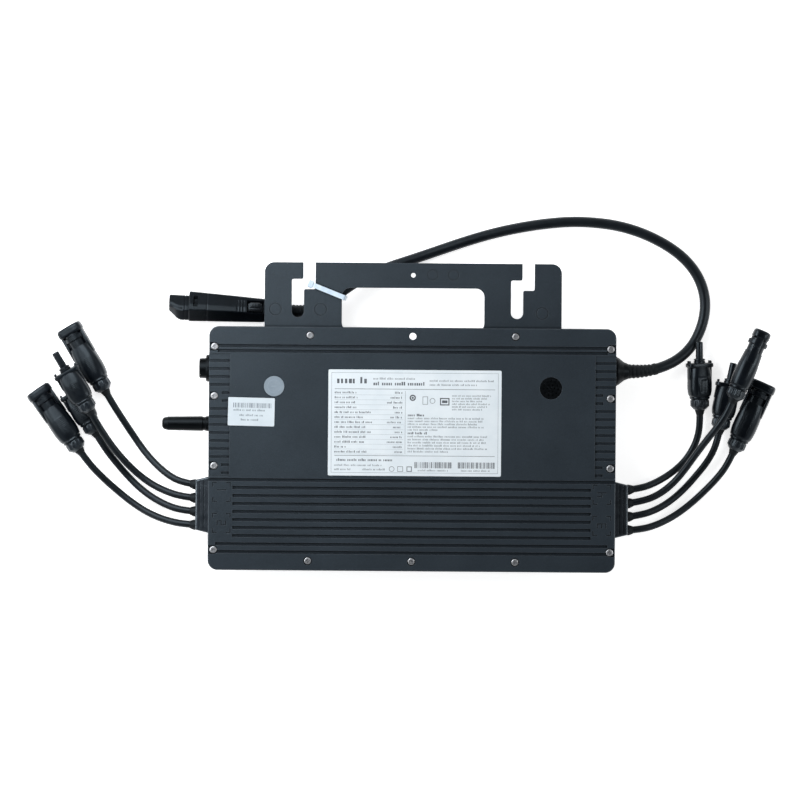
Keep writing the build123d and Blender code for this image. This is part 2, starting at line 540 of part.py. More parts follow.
def ac_connector():
    """The AC plug on its cord, along its own axis from the cord's end to the mating end."""
    body_start, body_end = 17.0, 79.6
    nut = turned([(0, 6.4), (5, 6.7), (9, 8.6), (10, 9.2), (body_start, 9.3)])
    nut += ribs(12, 9.7, 1.0, 1.6, 10, 16)
    housing = loft([across(body_start) * Circle(9.8), across(body_end, -1.4) * Circle(12.4)])
    housing = fillet(housing.edges().sort_by(Axis.X)[-1], 1.0)
    for x in (44.0, 50.0, 56.0, 62.0):
        housing -= block(x - 0.7, x + 0.7, -8.0, 2.0, 10.4, 13.0)
    housing -= block(73.4, 76.2, -6.5, -1.0, 8.5, 14.0)
    housing -= block(18.7, 31.3, -7.3, 2.3, 5.0, 14.0)
    latch = block(19.0, 31.0, -7.0, 2.0, 7.2, 11.9)
    latch = fillet(latch.faces().sort_by(Axis.Z)[-1].edges(), 0.8)
    insert = turned([(body_end, 10.3), (PLUG_LEN - 3.4, 10.3), (PLUG_LEN - 1, 9.0), (PLUG_LEN, 7.8)])
    socket = turned([(PLUG_LEN - 9, 1.6), (PLUG_LEN + 1, 1.6)])
    for k in range(4):
        turn = math.pi / 2 * k + 0.6
        insert -= Pos(0, 4.4 * math.cos(turn), 4.4 * math.sin(turn)) * socket
    insert -= block(body_end + 3, PLUG_LEN + 1, -1.2, 1.2, 8.9, 12)
    place = along(PLUG_REAR, PLUG_FRONT)
    return [place * piece for piece in (housing, latch, insert, nut)]


def cable_tie():
    """The white tie round the bracket's left arm, hanging down round the AC cord."""
    first, last = (-86.2, 135.9), (-57.4, 124.5)
    span = (last[0] - first[0], last[1] - first[1], 0)
    middle = ((first[0] + last[0]) / 2, (first[1] + last[1]) / 2, 0)
    plane = Plane(middle, x_dir=span, z_dir=(span[1], -span[0], 0))
    corners = [(u, z, 0.8) for u in (-10.2, 15.4) for z in (FLANGE_Z - 0.7, BRACKET_Z - 0.4)]
    rounds = corners + [(9.8, 14.8, 7.6)]

    def loop(grow):
        circles = [Pos(u, z) * Circle(radius + grow) for u, z, radius in rounds]
        return make_hull([edge for circle in circles for edge in circle.edges()])

    band = extrude(plane * (loop(1.0) - loop(0.0)), amount=2.0, both=True)
    head = plane * Pos(-13.4, FLANGE_Z - 1.5, 0) * Box(4.4, 6.0, 6.2)
    return band + fillet(head.edges(), 0.8)


# ---------------------------------------------------------------- inside
def inside():
    """The power electronics on the main board."""
    top = BOARD_Z + BOARD_T
    board = slab(292, 160, 5, BOARD_Z, top, y=TRAY_MID_Y)
    board -= [peg(x, y, BOARD_Z - 1, top + 1, 1.3 + SCREW_FIT) for x, y in BOARD_SCREWS]
    screws = [peg(x, y, WALL + 1, top, 1.3) + peg(x, y, top, top + 1.8, 2.6) for x, y in BOARD_SCREWS]
    cores, windings = [], []
    for x in (-96, -32, 32, 96):
        outer = block(x - 16, x + 16, -28, 8, top, top + 20)
        window = block(x - 10.5, x + 10.5, -29, 9, top + 4, top + 16)
        leg = block(x - 4.5, x + 4.5, -28, 8, top + 4, top + 16)
        cores.append(outer - window + leg)
        coil = block(x - 9.8, x + 9.8, -31, 11, top + 4.6, top + 15.4)
        coil -= block(x - 4.8, x + 4.8, -28.3, 8.3, top + 3, top + 17)
        windings.append(coil)
    bulk = [fillet(peg(x, y, top, top + 21, 8.0).edges().sort_by(Axis.Z)[-1], 1.0)
            for x in (-120, -98, -76, -54) for y in (-48, -68)]
    film = [fillet(block(x - 9, x + 9, y - 5, y + 5, top, top + 14).faces().sort_by(Axis.Z)[-1].edges(), 0.8)
            for x in (20, 44, 68) for y in (-46, -64)]
    switches = [block(x - 5, x + 5, 20, 24.5, top, top + 15) - peg_y(x, 22, top + 12, 1.6)
                for x in range(-96, 121, 24)]
    relays = [block(x - 7, x + 7, 46, 66, top, top + 12) for x in (96, 114)]
    choke = Pos(60, 56, top + 8) * (Cylinder(15, 12) - Cylinder(7, 14))
    radio = block(-146, -112, 12, 28, top + 6, top + 7.2) + block(-140, -122, 14, 26, top + 7.2, top + 9.6)
    radio += [block(-145, -143, y - 1, y + 1, top, top + 6) for y in (14, 26)]
    radio += [block(-115, -113, y - 1, y + 1, top, top + 6) for y in (14, 26)]
    return {
        "main_board": board, "board_screws": screws, "transformer_cores": cores,
        "transformer_windings": windings, "bulk_capacitors": bulk, "film_capacitors": film,
        "power_switches": switches, "grid_relays": relays, "common_mode_choke": choke, "radio_module": radio,
    }


def peg_y(x, y, z, radius):
    """A cross hole along Y."""
    return Pos(x, y, z) * Rot(90, 0, 0) * Cylinder(radius, 10)


# ---------------------------------------------------------------- the whole object
def save(name, shape):
    solids = shape if isinstance(shape, (list, tuple)) else [shape]
    piece = Compound(children=list(solids)) if len(solids) > 1 else solids[0]
    piece.label = name
    export_step(piece, f"parts/{name}.step")


def save_leads():
    for name, route in LEADS.items():
        save(f"dc_lead_{name}", tube(f"dc_lead_{name}", route, LEAD_D))


def save_connectors():
    lengths = {"wide": WIDE_LEN, "slim": SLIM_LEN}
    bodies = {"wide": wide_connector(), "slim": slim_connector()}
    metal = {"wide": contact_pin(), "slim": contact_socket()}
    contacts = {"wide": [], "slim": []}
    nut = dc_nut()
    for name, kind in CONNECTOR_KINDS.items():
        before, rear = Vector(*LEADS[name][-2]), Vector(*LEADS[name][-1])
        place = along(rear, rear + (rear - before).normalized() * lengths[kind])
        place *= Rot(CONNECTOR_ROLLS[name], 0, 0)
        save(f"dc_connector_{name}", place * bodies[kind])
        save(f"dc_nut_{name}", place * nut)
        contacts[kind].append(place * metal[kind])
    save("dc_contact_pins", contacts["wide"])
    save("dc_contact_sockets", contacts["slim"])


def main():
    os.makedirs("parts", exist_ok=True)
    save("housing_base", housing_base())
    save("cover_gasket", cover_gasket())
    save("cover_plate", cover_plate())
    save("mounting_bracket", mounting_bracket())
    save("cover_screws", [screw(x, y, FLANGE_Z - 8) for x, y in cover_screw_places()])
    save("bracket_screws", [screw(x, y, BRACKET_Z - 2) for x, y in bracket_screw_places()])
    save("vent_plug", vent_plug())
    save("indicator_disc", indicator_disc())
    for name, label in zip(("rating_label", "serial_label"), labels()):
        save(name, label)
    for name, piece in zip(("ac_gland_body", "ac_gland_nut"), ac_gland()):
        save(name, piece)
    for name, piece in zip(("ac_port_socket", "ac_port_cap"), ac_port()):
        save(name, piece)
    for name, piece in zip(("antenna_jack", "antenna_rod"), antenna()):
        save(name, piece)
    save("lead_block_left", lead_block(-1))
    save("lead_block_right", lead_block(1))
    for name, piece in zip(("housing", "latch", "insert", "nut"), ac_connector()):
        save(f"ac_connector_{name}", piece)
    save("cable_tie", cable_tie())
    save("ac_lead", tube("ac_lead", AC_ROUTE, AC_D))
    save_leads()
    save_connectors()
    for name, pieces in inside().items():
        save(name, pieces)


main()
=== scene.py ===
import math
import random

import bmesh
import bpy
from mathutils import Matrix, Vector


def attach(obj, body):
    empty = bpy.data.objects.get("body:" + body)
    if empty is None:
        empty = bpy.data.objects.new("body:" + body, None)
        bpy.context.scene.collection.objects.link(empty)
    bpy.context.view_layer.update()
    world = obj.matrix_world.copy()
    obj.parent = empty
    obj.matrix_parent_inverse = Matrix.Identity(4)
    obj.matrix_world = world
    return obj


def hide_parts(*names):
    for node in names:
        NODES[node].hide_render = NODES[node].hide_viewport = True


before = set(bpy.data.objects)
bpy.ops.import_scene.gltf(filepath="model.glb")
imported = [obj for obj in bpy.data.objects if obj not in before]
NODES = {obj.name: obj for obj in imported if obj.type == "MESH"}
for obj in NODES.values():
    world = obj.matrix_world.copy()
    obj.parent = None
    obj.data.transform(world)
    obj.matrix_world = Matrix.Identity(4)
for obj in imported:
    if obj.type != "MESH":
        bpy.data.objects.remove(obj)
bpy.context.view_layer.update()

# A four-input micro inverter lying on its back, seen from straight above. Lengths are in metres,
# except inside the piece builders, which work in millimetres and are scaled by MM.
MM = 0.001

# ---------------------------------------------------------------- cords
AC_D, LEAD_D = 0.0088, 0.0058
AC_ROUTE = [
    (0.178, 0.0655, 0.017), (0.1905, 0.0655, 0.017), (0.205, 0.0688, 0.0148), (0.2186, 0.0754, 0.0108),
    (0.2294, 0.0854, 0.0074), (0.2366, 0.0982, 0.0052), (0.2406, 0.112, 0.0044), (0.241, 0.126, 0.0045),
    (0.2374, 0.1396, 0.0044), (0.2302, 0.1518, 0.0045), (0.2196, 0.1626, 0.0044), (0.2054, 0.172, 0.0045),
    (0.1884, 0.18, 0.0044), (0.1694, 0.1856, 0.0045), (0.15, 0.1882, 0.0044), (0.13, 0.1888, 0.0045),
    (0.109, 0.187, 0.0044), (0.088, 0.1836, 0.0045), (0.067, 0.179, 0.0044), (0.046, 0.1728, 0.0045),
    (0.025, 0.1656, 0.0044), (0.004, 0.1582, 0.0049), (-0.017, 0.1512, 0.0064), (-0.0344, 0.1444, 0.009),
    (-0.049, 0.1364, 0.0118), (-0.062, 0.1268, 0.0136), (-0.075, 0.1176, 0.0144), (-0.0896, 0.11235, 0.014),
    (-0.105, 0.1128, 0.014),
]
PLUG_REAR, PLUG_FRONT = Vector((-0.105, 0.1128, 0.014)), Vector((-0.201, 0.1156, 0.014))
LEADS = {
    "left_1": [
        (-0.178, -0.03025, 0.017), (-0.1894, -0.0286, 0.0164), (-0.2006, -0.0229, 0.0128),
        (-0.2114, -0.0138, 0.008), (-0.221, -0.0032, 0.0044), (-0.2296, 0.009, 0.0032),
        (-0.2382, 0.0218, 0.0054), (-0.2467, 0.035, 0.009), (-0.2535, 0.0465, 0.009),
    ],
    "left_2": [
        (-0.178, -0.04135, 0.017), (-0.1894, -0.0403, 0.0164), (-0.202, -0.0364, 0.0134),
        (-0.2146, -0.0304, 0.0102), (-0.2266, -0.0216, 0.0094), (-0.2372, -0.0112, 0.0118),
        (-0.2462, -0.0004, 0.0166), (-0.2532, 0.0098, 0.0222), (-0.2592, 0.0194, 0.026),
        (-0.2652, 0.0294, 0.0272),
    ],
    "left_3": [
        (-0.178, -0.05245, 0.017), (-0.1894, -0.0516, 0.0162), (-0.2016, -0.0478, 0.0124),
        (-0.2136, -0.0416, 0.0078), (-0.225, -0.0332, 0.0044), (-0.2353, -0.0229, 0.0032),
        (-0.2452, -0.0114, 0.0054), (-0.2541, 0.0003, 0.009), (-0.2611, 0.0119, 0.009),
    ],
    "left_4": [
        (-0.178, -0.06355, 0.017), (-0.1894, -0.0628, 0.0162), (-0.2024, -0.06, 0.0124),
        (-0.216, -0.0548, 0.0078), (-0.2292, -0.0468, 0.0044), (-0.2418, -0.037, 0.0032),
        (-0.2546, -0.0258, 0.0054), (-0.2666, -0.0134, 0.009), (-0.2744, -0.0024, 0.009),
    ],
    "right_1": [
        (0.178, -0.03195, 0.017), (0.189, -0.0306, 0.0162), (0.201, -0.026, 0.0126), (0.213, -0.0189, 0.008),
        (0.224, -0.0096, 0.0046), (0.2313, 0.001, 0.0036), (0.2357, 0.0118, 0.0056), (0.2372, 0.023, 0.0086),
        (0.237, 0.0344, 0.0094),
    ],
    "right_2": [
        (0.178, -0.04305, 0.017), (0.1906, -0.0412, 0.0168), (0.2036, -0.0358, 0.0148),
        (0.215, -0.0269, 0.0136), (0.2244, -0.0156, 0.0154), (0.2328, -0.0034, 0.0196),
        (0.2414, 0.0084, 0.0246), (0.2504, 0.0198, 0.0286), (0.2584, 0.0314, 0.0304),
        (0.2636, 0.0434, 0.0296),
    ],
    "right_3": [
        (0.178, -0.05415, 0.017), (0.1894, -0.0526, 0.0162), (0.2018, -0.0482, 0.0124),
        (0.2138, -0.0409, 0.0078), (0.225, -0.031, 0.0044), (0.235, -0.0196, 0.0032),
        (0.2444, -0.0076, 0.0054), (0.2509, 0.0054, 0.009), (0.2535, 0.0183, 0.009),
    ],
    "right_4": [
        (0.178, -0.06525, 0.017), (0.19, -0.0644, 0.0162), (0.203, -0.0604, 0.0124), (0.216, -0.0538, 0.0078),
        (0.2284, -0.0449, 0.0044), (0.2402, -0.0342, 0.0032), (0.2511, -0.0229, 0.0054),
        (0.2601, -0.011, 0.009), (0.2655, 0.0012, 0.009),
    ],
}
CONNECTOR_KINDS = {
    "left_1": "wide", "left_2": "slim", "left_3": "slim", "left_4": "wide",
    "right_1": "slim", "right_2": "wide", "right_3": "slim", "right_4": "wide",
}
CONNECTOR_ROLLS = {
    "left_1": -12.0, "left_2": -8.0, "left_3": 0.0, "left_4": 10.0,
    "right_1": 24.0, "right_2": 90.0, "right_3": 6.0, "right_4": -10.0,
}

# Sizes in millimetres, as in the CAD.
TOP_Z = 41.5
PRINT_LIFT, DISC_LIFT = 0.17, 0.37
LABEL_AT, LABEL_SIZE = (2.0, 21.7), (142.0, 87.0)
SERIAL_AT, SERIAL_SIZE = (-132.1, 29.9), (38.2, 23.2)
DISC_AT = (-113.5, 51.0)


# ---------------------------------------------------------------- materials
COOL_TINT = (0.76, 0.90, 1.0, 1.0)
# The groove colour is painted shade, which the powder coat takes in its grooves and creases.
EDGE_COLOUR, SPECK_COLOUR, GROOVE_SHADE_COLOUR = (0.17, 0.19, 0.21), (0.22, 0.23, 0.24), (0.0035, 0.0050, 0.0072)


class Surface:
    """A Principled material with procedural colour, roughness and relief."""

    def __init__(self, name, rough=0.5, metallic=0.0, coat=0.0, specular=0.5):
        self.material = bpy.data.materials.new(name)
        self.material.use_nodes = True
        self.tree = self.material.node_tree
        self.shader = self.tree.nodes["Principled BSDF"]
        self.shader.inputs["Roughness"].default_value = rough
        self.shader.inputs["Metallic"].default_value = metallic
        self.shader.inputs["Coat Weight"].default_value = coat
        self.shader.inputs["Specular IOR Level"].default_value = specular
        if not metallic:
            self.shader.inputs["Specular Tint"].default_value = COOL_TINT
        self.where = self.node("ShaderNodeTexCoord").outputs["Object"]

    def node(self, kind, **settings):
        made = self.tree.nodes.new(kind)
        for key, value in settings.items():
            setattr(made, key, value)
        return made

    def link(self, start, end):
        self.tree.links.new(start, end)

    def noise(self, size, detail=3.0, roughness=0.5, stretch=(1, 1, 1)):
        """Noise whose blobs are about size metres across."""
        mapping = self.node("ShaderNodeMapping")
        mapping.inputs["Scale"].default_value = [value / size for value in stretch]
        self.link(self.where, mapping.inputs["Vector"])
        texture = self.node("ShaderNodeTexNoise")
        texture.inputs["Scale"].default_value = 1.0
        texture.inputs["Detail"].default_value = detail
        texture.inputs["Roughness"].default_value = roughness
        self.link(mapping.outputs["Vector"], texture.inputs["Vector"])
        return texture.outputs["Fac"]

    def cells(self, size):
        """Distance to the nearest of many scattered points, size metres apart."""
        texture = self.node("ShaderNodeTexVoronoi")
        texture.inputs["Scale"].default_value = 1.0 / size
        self.link(self.where, texture.inputs["Vector"])
        return texture.outputs["Distance"]

    def ramp(self, factor, stops):
        """A grey ramp of (position, brightness) stops."""
        made = self.node("ShaderNodeValToRGB")
        elements = made.color_ramp.elements
        while len(elements) < len(stops):
            elements.new(0.5)
        for element, (position, grey) in zip(elements, stops):
            element.position = position
            element.color = (grey, grey, grey, 1.0)
        self.link(factor, made.inputs["Fac"])
        return made.outputs["Color"]

    def mix(self, factor, first, second):
        """The first colour where factor is 0 and the second where it is 1."""
        made = self.node("ShaderNodeMix", data_type="RGBA")
        for socket, value in ((made.inputs[0], factor), (made.inputs[6], first), (made.inputs[7], second)):
            if isinstance(value, tuple):
                socket.default_value = (*value, 1.0)
            else:
                self.link(value, socket)
        return made.outputs[2]

    def edges(self, radius):
        """0 on flat stretches, rising to 1 on sharp outer and inner edges."""
        bevel = self.node("ShaderNodeBevel", samples=4)
        bevel.inputs["Radius"].default_value = radius
        geometry = self.node("ShaderNodeNewGeometry")
        dot = self.node("ShaderNodeVectorMath", operation="DOT_PRODUCT")
        self.link(bevel.outputs["Normal"], dot.inputs[0])
        self.link(geometry.outputs["Normal"], dot.inputs[1])
        return self.ramp(dot.outputs["Value"], [(0.80, 1.0), (0.985, 0.0)])

    def occlusion(self, depth):
        """Ambient occlusion, used as painted shade: 1 in the open, falling to 0 in grooves and corners up to
        depth metres across.
        """
        shade = self.node("ShaderNodeAmbientOcclusion", samples=4)
        shade.inputs["Distance"].default_value = depth
        return self.ramp(shade.outputs["AO"], [(0.56, 0.0), (0.97, 1.0)])

    def colour(self, socket):
        self.link(socket, self.shader.inputs["Base Color"])

    def roughness(self, factor, low, high):
        made = self.node("ShaderNodeMapRange")
        made.inputs["To Min"].default_value = low
        made.inputs["To Max"].default_value = high
        self.link(factor, made.inputs["Value"])
        self.link(made.outputs["Result"], self.shader.inputs["Roughness"])

    def relief(self, *layers, edge=0.0):
        """Bump layers of (height socket, depth in metres), over edges rounded by edge metres."""
        below = None
        if edge:
            bevel = self.node("ShaderNodeBevel", samples=4)
            bevel.inputs["Radius"].default_value = edge
            below = bevel.outputs["Normal"]
        for height, depth in layers:
            bump = self.node("ShaderNodeBump")
            bump.inputs["Distance"].default_value = depth
            self.link(height, bump.inputs["Height"])
            if below is not None:
                self.link(below, bump.inputs["Normal"])
            below = bump.outputs["Normal"]
        self.link(below, self.shader.inputs["Normal"])


def powder_coat(name, dark, light, wear):
    """Fine-textured powder coat, with soft mottling, dust specks, paler edges, and painted shade that darkens
    grooves and dims their reflections.
    """
    s = Surface(name, specular=0.64)
    mottle = s.noise(0.045, 4.0, 0.6)
    grain = s.noise(0.0011, 2.0, 0.6)
    colour = s.mix(s.ramp(mottle, [(0.35, 0.0), (0.68, 1.0)]), dark, light)
    colour = s.mix(s.ramp(grain, [(0.38, 0.0), (0.66, 0.34)]), colour, tuple(1.7 * value for value in light))
    specks = s.ramp(s.cells(0.0065), [(0.0, 0.5), (0.035, 0.0)])
    colour = s.mix(specks, colour, SPECK_COLOUR)
    colour = s.mix(s.ramp(s.edges(0.0007), [(0.0, 0.0), (1.0, wear)]), colour, EDGE_COLOUR)
    # Painted shade: ambient occlusion darkens the colour in grooves and corners and lowers their specular
    # level.
    unshaded = s.occlusion(0.0022)
    s.colour(s.mix(unshaded, GROOVE_SHADE_COLOUR, colour))
    shaded_specular = s.node("ShaderNodeMapRange")
    shaded_specular.inputs["To Min"].default_value = 0.24
    shaded_specular.inputs["To Max"].default_value = 0.66
    s.link(unshaded, shaded_specular.inputs["Value"])
    s.link(shaded_specular.outputs["Result"], s.shader.inputs["Specular IOR Level"])
    s.roughness(mottle, 0.42, 0.52)
    s.relief((grain, 0.00007), (s.noise(0.0042, 2.0), 0.00008), edge=0.0003)
    return s.material


def moulded(name, dark, light, low=0.30, high=0.46, texture=0.0007, depth=0.00003, specular=0.5):
    """Moulded plastic with a fine spark-eroded texture and faint handling marks."""
    s = Surface(name, specular=specular)
    smear = s.noise(0.013, 4.0, 0.65)
    grain = s.noise(texture, 2.0, 0.5)
    colour = s.mix(s.ramp(smear, [(0.35, 0.0), (0.7, 1.0)]), dark, light)
    dust = s.ramp(s.cells(0.003), [(0.0, 0.55), (0.05, 0.0)])
    s.colour(s.mix(dust, colour, tuple(4.0 * value for value in light)))
    s.roughness(smear, low, high)
    s.relief((grain, depth), edge=0.00022)
    return s.material


def pierced(name):
    """Vent membrane under a moulded grid: black, with small paler raised points."""
    s = Surface(name, specular=0.1)
    points = s.cells(0.0024)
    raised = s.ramp(points, [(0.16, 1.0), (0.30, 0.0)])
    s.colour(s.mix(raised, (0.0004, 0.0005, 0.0007), (0.006, 0.007, 0.009)))
    s.roughness(s.noise(0.002), 0.4, 0.6)
    s.relief((raised, 0.0004), edge=0.0002)
    return s.material


def sheath(name, dark, light, low, high):
    """Extruded cable jacket: a satin skin with faint lengthwise drag and dust."""
    s = Surface(name, specular=0.34)
    patch = s.noise(0.012, 4.0, 0.6)
    skin = s.noise(0.0009, 3.0, 0.6)
    colour = s.mix(s.ramp(patch, [(0.35, 0.0), (0.7, 1.0)]), dark, light)
    s.colour(s.mix(s.ramp(skin, [(0.60, 0.0), (0.78, 0.5)]), colour, tuple(2.6 * value for value in light)))
    s.roughness(patch, low, high)
    s.relief((skin, 0.00004), (s.noise(0.005, 2.0), 0.00012))
    return s.material


def metal(name, dark, light, low, high):
    """Bare metal with fine scratches along Z."""
    s = Surface(name, metallic=1.0)
    scratch = s.noise(0.0012, 3.0, 0.6, stretch=(1, 1, 9))
    s.colour(s.mix(s.ramp(scratch, [(0.3, 0.0), (0.7, 1.0)]), dark, light))
    s.roughness(s.noise(0.002, 3.0), low, high)
    s.relief((scratch, 0.00002), edge=0.00015)
    return s.material


def film(name, base, shade):
    """White printed film: satin, with a slight ripple and faint grey mottling."""
    s = Surface(name, specular=0.5, coat=0.12)
    mottle = s.noise(0.02, 5.0, 0.6)
    s.colour(s.mix(s.ramp(mottle, [(0.35, 0.0), (0.75, 1.0)]), base, shade))
    s.roughness(s.noise(0.004, 3.0), 0.30, 0.42)
    s.relief((s.noise(0.03, 2.0), 0.00025), (s.noise(0.0006, 2.0), 0.000008))
    return s.material


def ink(name, dark, light):
    """Thermal print: dark with slightly uneven cover."""
    s = Surface(name, specular=0.35)
    cover = s.noise(0.0006, 2.0, 0.6)
    s.colour(s.mix(s.ramp(cover, [(0.35, 0.0), (0.75, 1.0)]), dark, light))
    s.roughness(cover, 0.35, 0.55)
    return s.material


def nylon(name):
    """Natural nylon: cloudy, and lit a little from inside."""
    s = Surface(name, specular=0.5)
    s.shader.inputs["Subsurface Weight"].default_value = 0.25
    s.shader.inputs["Subsurface Radius"].default_value = (0.0012, 0.0014, 0.0016)
    cloud = s.noise(0.004, 3.0)
    s.colour(s.mix(s.ramp(cloud, [(0.3, 0.0), (0.7, 1.0)]), (0.52, 0.62, 0.72), (0.64, 0.74, 0.83)))
    s.roughness(cloud, 0.28, 0.42)
    s.relief((s.noise(0.0008, 2.0), 0.00003), edge=0.0002)
    return s.material


def laminate(name, dark, light):
    """Solder-masked board, mottled by the copper beneath."""
    s = Surface(name, coat=0.3)
    tracks = s.noise(0.006, 1.0, 0.3, stretch=(1, 4, 1))
    s.colour(s.mix(s.ramp(tracks, [(0.45, 0.0), (0.52, 1.0)]), dark, light))
    s.roughness(tracks, 0.28, 0.4)
    s.relief((tracks, 0.00005))
    return s.material


def winding(name):
    """Enamelled wire laid side by side."""
    s = Surface(name, metallic=0.9)
    wire = s.node("ShaderNodeTexWave", wave_type="BANDS", bands_direction="Z")
    wire.inputs["Scale"].default_value = 260.0
    s.link(s.where, wire.inputs["Vector"])
    s.colour(s.mix(wire.outputs["Fac"], (0.30, 0.12, 0.04), (0.78, 0.40, 0.18)))
    s.roughness(wire.outputs["Fac"], 0.25, 0.4)
    s.relief((wire.outputs["Fac"], 0.0003))
    return s.material


COVER = powder_coat("cover_coat", (0.0060, 0.0095, 0.0140), (0.0092, 0.0138, 0.0196), 0.34)
BASE = powder_coat("base_coat", (0.0066, 0.0100, 0.0148), (0.0100, 0.0148, 0.0210), 0.24)
BRACKET = powder_coat("bracket_coat", (0.0060, 0.0092, 0.0136), (0.0092, 0.0136, 0.0192), 0.34)
BLACK = moulded("black_moulding", (0.0005, 0.0006, 0.0009), (0.0013, 0.0015, 0.0020), specular=0.16)
CONNECTOR = moulded("connector_moulding", (0.0007, 0.0012, 0.0024), (0.0024, 0.0038, 0.0064), 0.24, 0.36,
                    specular=0.36)
PLUG = moulded("plug_moulding", (0.0006, 0.0010, 0.0018), (0.0018, 0.0028, 0.0046), 0.26, 0.36, specular=0.24)
LATCH = moulded("latch_moulding", (0.0060, 0.0070, 0.0088), (0.0110, 0.0126, 0.0150), 0.26, 0.38,
                specular=0.35)
NUT = moulded("nut_moulding", (0.0026, 0.0038, 0.0058), (0.0058, 0.0080, 0.0116), 0.22, 0.36)
BLOCK = moulded("block_moulding", (0.0180, 0.0220, 0.0280), (0.0380, 0.0450, 0.0540), 0.20, 0.32,
                specular=0.8)
RUBBER = moulded("rubber", (0.0016, 0.0017, 0.0020), (0.0040, 0.0042, 0.0050), 0.50, 0.70,
                 0.0005, 0.00004, 0.3)
AC_SHEATH = sheath("ac_sheath", (0.0010, 0.0016, 0.0026), (0.0028, 0.0039, 0.0058), 0.34, 0.46)
LEAD_SHEATH = sheath("lead_sheath", (0.0010, 0.0016, 0.0026), (0.0030, 0.0041, 0.0060), 0.30, 0.44)
STEEL = metal("screw_steel", (0.42, 0.43, 0.45), (0.66, 0.67, 0.69), 0.28, 0.48)
BRASS = metal("plated_brass", (0.55, 0.42, 0.20), (0.80, 0.64, 0.34), 0.22, 0.40)
TIN = metal("tinned_contact", (0.55, 0.54, 0.50), (0.78, 0.77, 0.72), 0.2, 0.34)
CAN = metal("capacitor_can", (0.50, 0.51, 0.53), (0.72, 0.73, 0.75), 0.25, 0.4)
FILM = film("label_film", (0.76, 0.81, 0.84), (0.67, 0.73, 0.77))
SERIAL_FILM = film("serial_film", (0.63, 0.69, 0.73), (0.56, 0.62, 0.66))
PRINT = ink("label_ink", (0.085, 0.090, 0.100), (0.150, 0.160, 0.175))
FAINT_PRINT = ink("serial_ink", (0.17, 0.20, 0.23), (0.26, 0.29, 0.32))
DISC_PRINT = ink("disc_ink", (0.22, 0.27, 0.32), (0.28, 0.33, 0.38))
GREY_PRINT = ink("label_grey_ink", (0.20, 0.22, 0.24), (0.30, 0.32, 0.34))
DISC = moulded("disc_moulding", (0.20, 0.245, 0.285), (0.26, 0.305, 0.35), 0.38, 0.5, 0.0010, 0.00002)
TIE = nylon("tie_nylon")
BOARD = laminate("board_laminate", (0.012, 0.11, 0.05), (0.02, 0.17, 0.08))
FERRITE = moulded("ferrite", (0.045, 0.045, 0.048), (0.075, 0.075, 0.08), 0.5, 0.7, 0.0006, 0.00006)
VENT = pierced("vent_grid")
GREY_CASE = moulded("grey_case", (0.20, 0.21, 0.23), (0.28, 0.29, 0.31), 0.3, 0.45)
WIRE = winding("enamelled_wire")

NODE_MATERIALS = {
    "cover_plate": COVER, "housing_base": BASE, "mounting_bracket": BRACKET, "cover_gasket": RUBBER,
    "cover_screws": STEEL, "bracket_screws": STEEL, "board_screws": STEEL, "vent_plug": VENT,
    "indicator_disc": DISC, "rating_label": FILM, "serial_label": SERIAL_FILM, "ac_gland_body": BLACK,
    "ac_gland_nut": BLACK, "ac_port_socket": BLACK, "ac_port_cap": BLACK, "antenna_jack": BRASS,
    "antenna_rod": BLACK, "lead_block_left": BLOCK, "lead_block_right": BLOCK, "ac_connector_housing": BLACK,
    "ac_connector_nut": BLACK, "ac_connector_insert": BLACK, "ac_connector_latch": BLACK, "cable_tie": TIE,
    "main_board": BOARD, "radio_module": BOARD, "transformer_cores": FERRITE, "common_mode_choke": FERRITE,
    "transformer_windings": WIRE, "bulk_capacitors": CAN, "film_capacitors": GREY_CASE,
    "grid_relays": GREY_CASE, "power_switches": BLACK, "dc_contact_pins": TIN, "dc_contact_sockets": TIN,
}


def dress_nodes():
    """Gives every CAD node its procedural material. The connectors and leads get new pieces later."""
    for name, node in NODES.items():
        material = NODE_MATERIALS.get(name, CONNECTOR)
        node.data.materials.clear()
        node.data.materials.append(material)


# ---------------------------------------------------------------- stage
def softbox(name, place, target, size, power, colour):
    """A rectangular area light at place, turned to the target."""
    light = bpy.data.lights.new(name, "AREA")
    light.shape = "RECTANGLE"
    light.size, light.size_y = size
    light.energy = power
    light.color = colour
    obj = bpy.data.objects.new(name, light)
    bpy.context.scene.collection.objects.link(obj)
    obj.location = place
    obj.rotation_mode = "QUATERNION"
    obj.rotation_quaternion = (Vector(target) - Vector(place)).to_track_quat("-Z", "Y")


def studio_world():
    """A tent of soft light, dark straight overhead and near the horizon."""
    world = bpy.data.worlds.new("world")
    world.use_nodes = True
    tree = world.node_tree
    where = tree.nodes.new("ShaderNodeTexCoord")
    split = tree.nodes.new("ShaderNodeSeparateXYZ")
    ramp = tree.nodes.new("ShaderNodeValToRGB")
    elements = ramp.color_ramp.elements
    stops = ((0.0, 0.20), (0.30, 0.62), (0.55, 0.80), (0.75, 0.45), (0.90, 0.08), (1.0, 0.015))
    while len(elements) < len(stops):
        elements.new(0.5)
    for element, (position, grey) in zip(elements, stops):
        element.position = position
        element.color = (0.965 * grey, 0.985 * grey, grey, 1.0)
    tree.links.new(where.outputs["Generated"], split.inputs["Vector"])
    tree.links.new(split.outputs["Z"], ramp.inputs["Fac"])
    tree.links.new(ramp.outputs["Color"], tree.nodes["Background"].inputs["Color"])
    tree.nodes["Background"].inputs["Strength"].default_value = 0.90
    return world


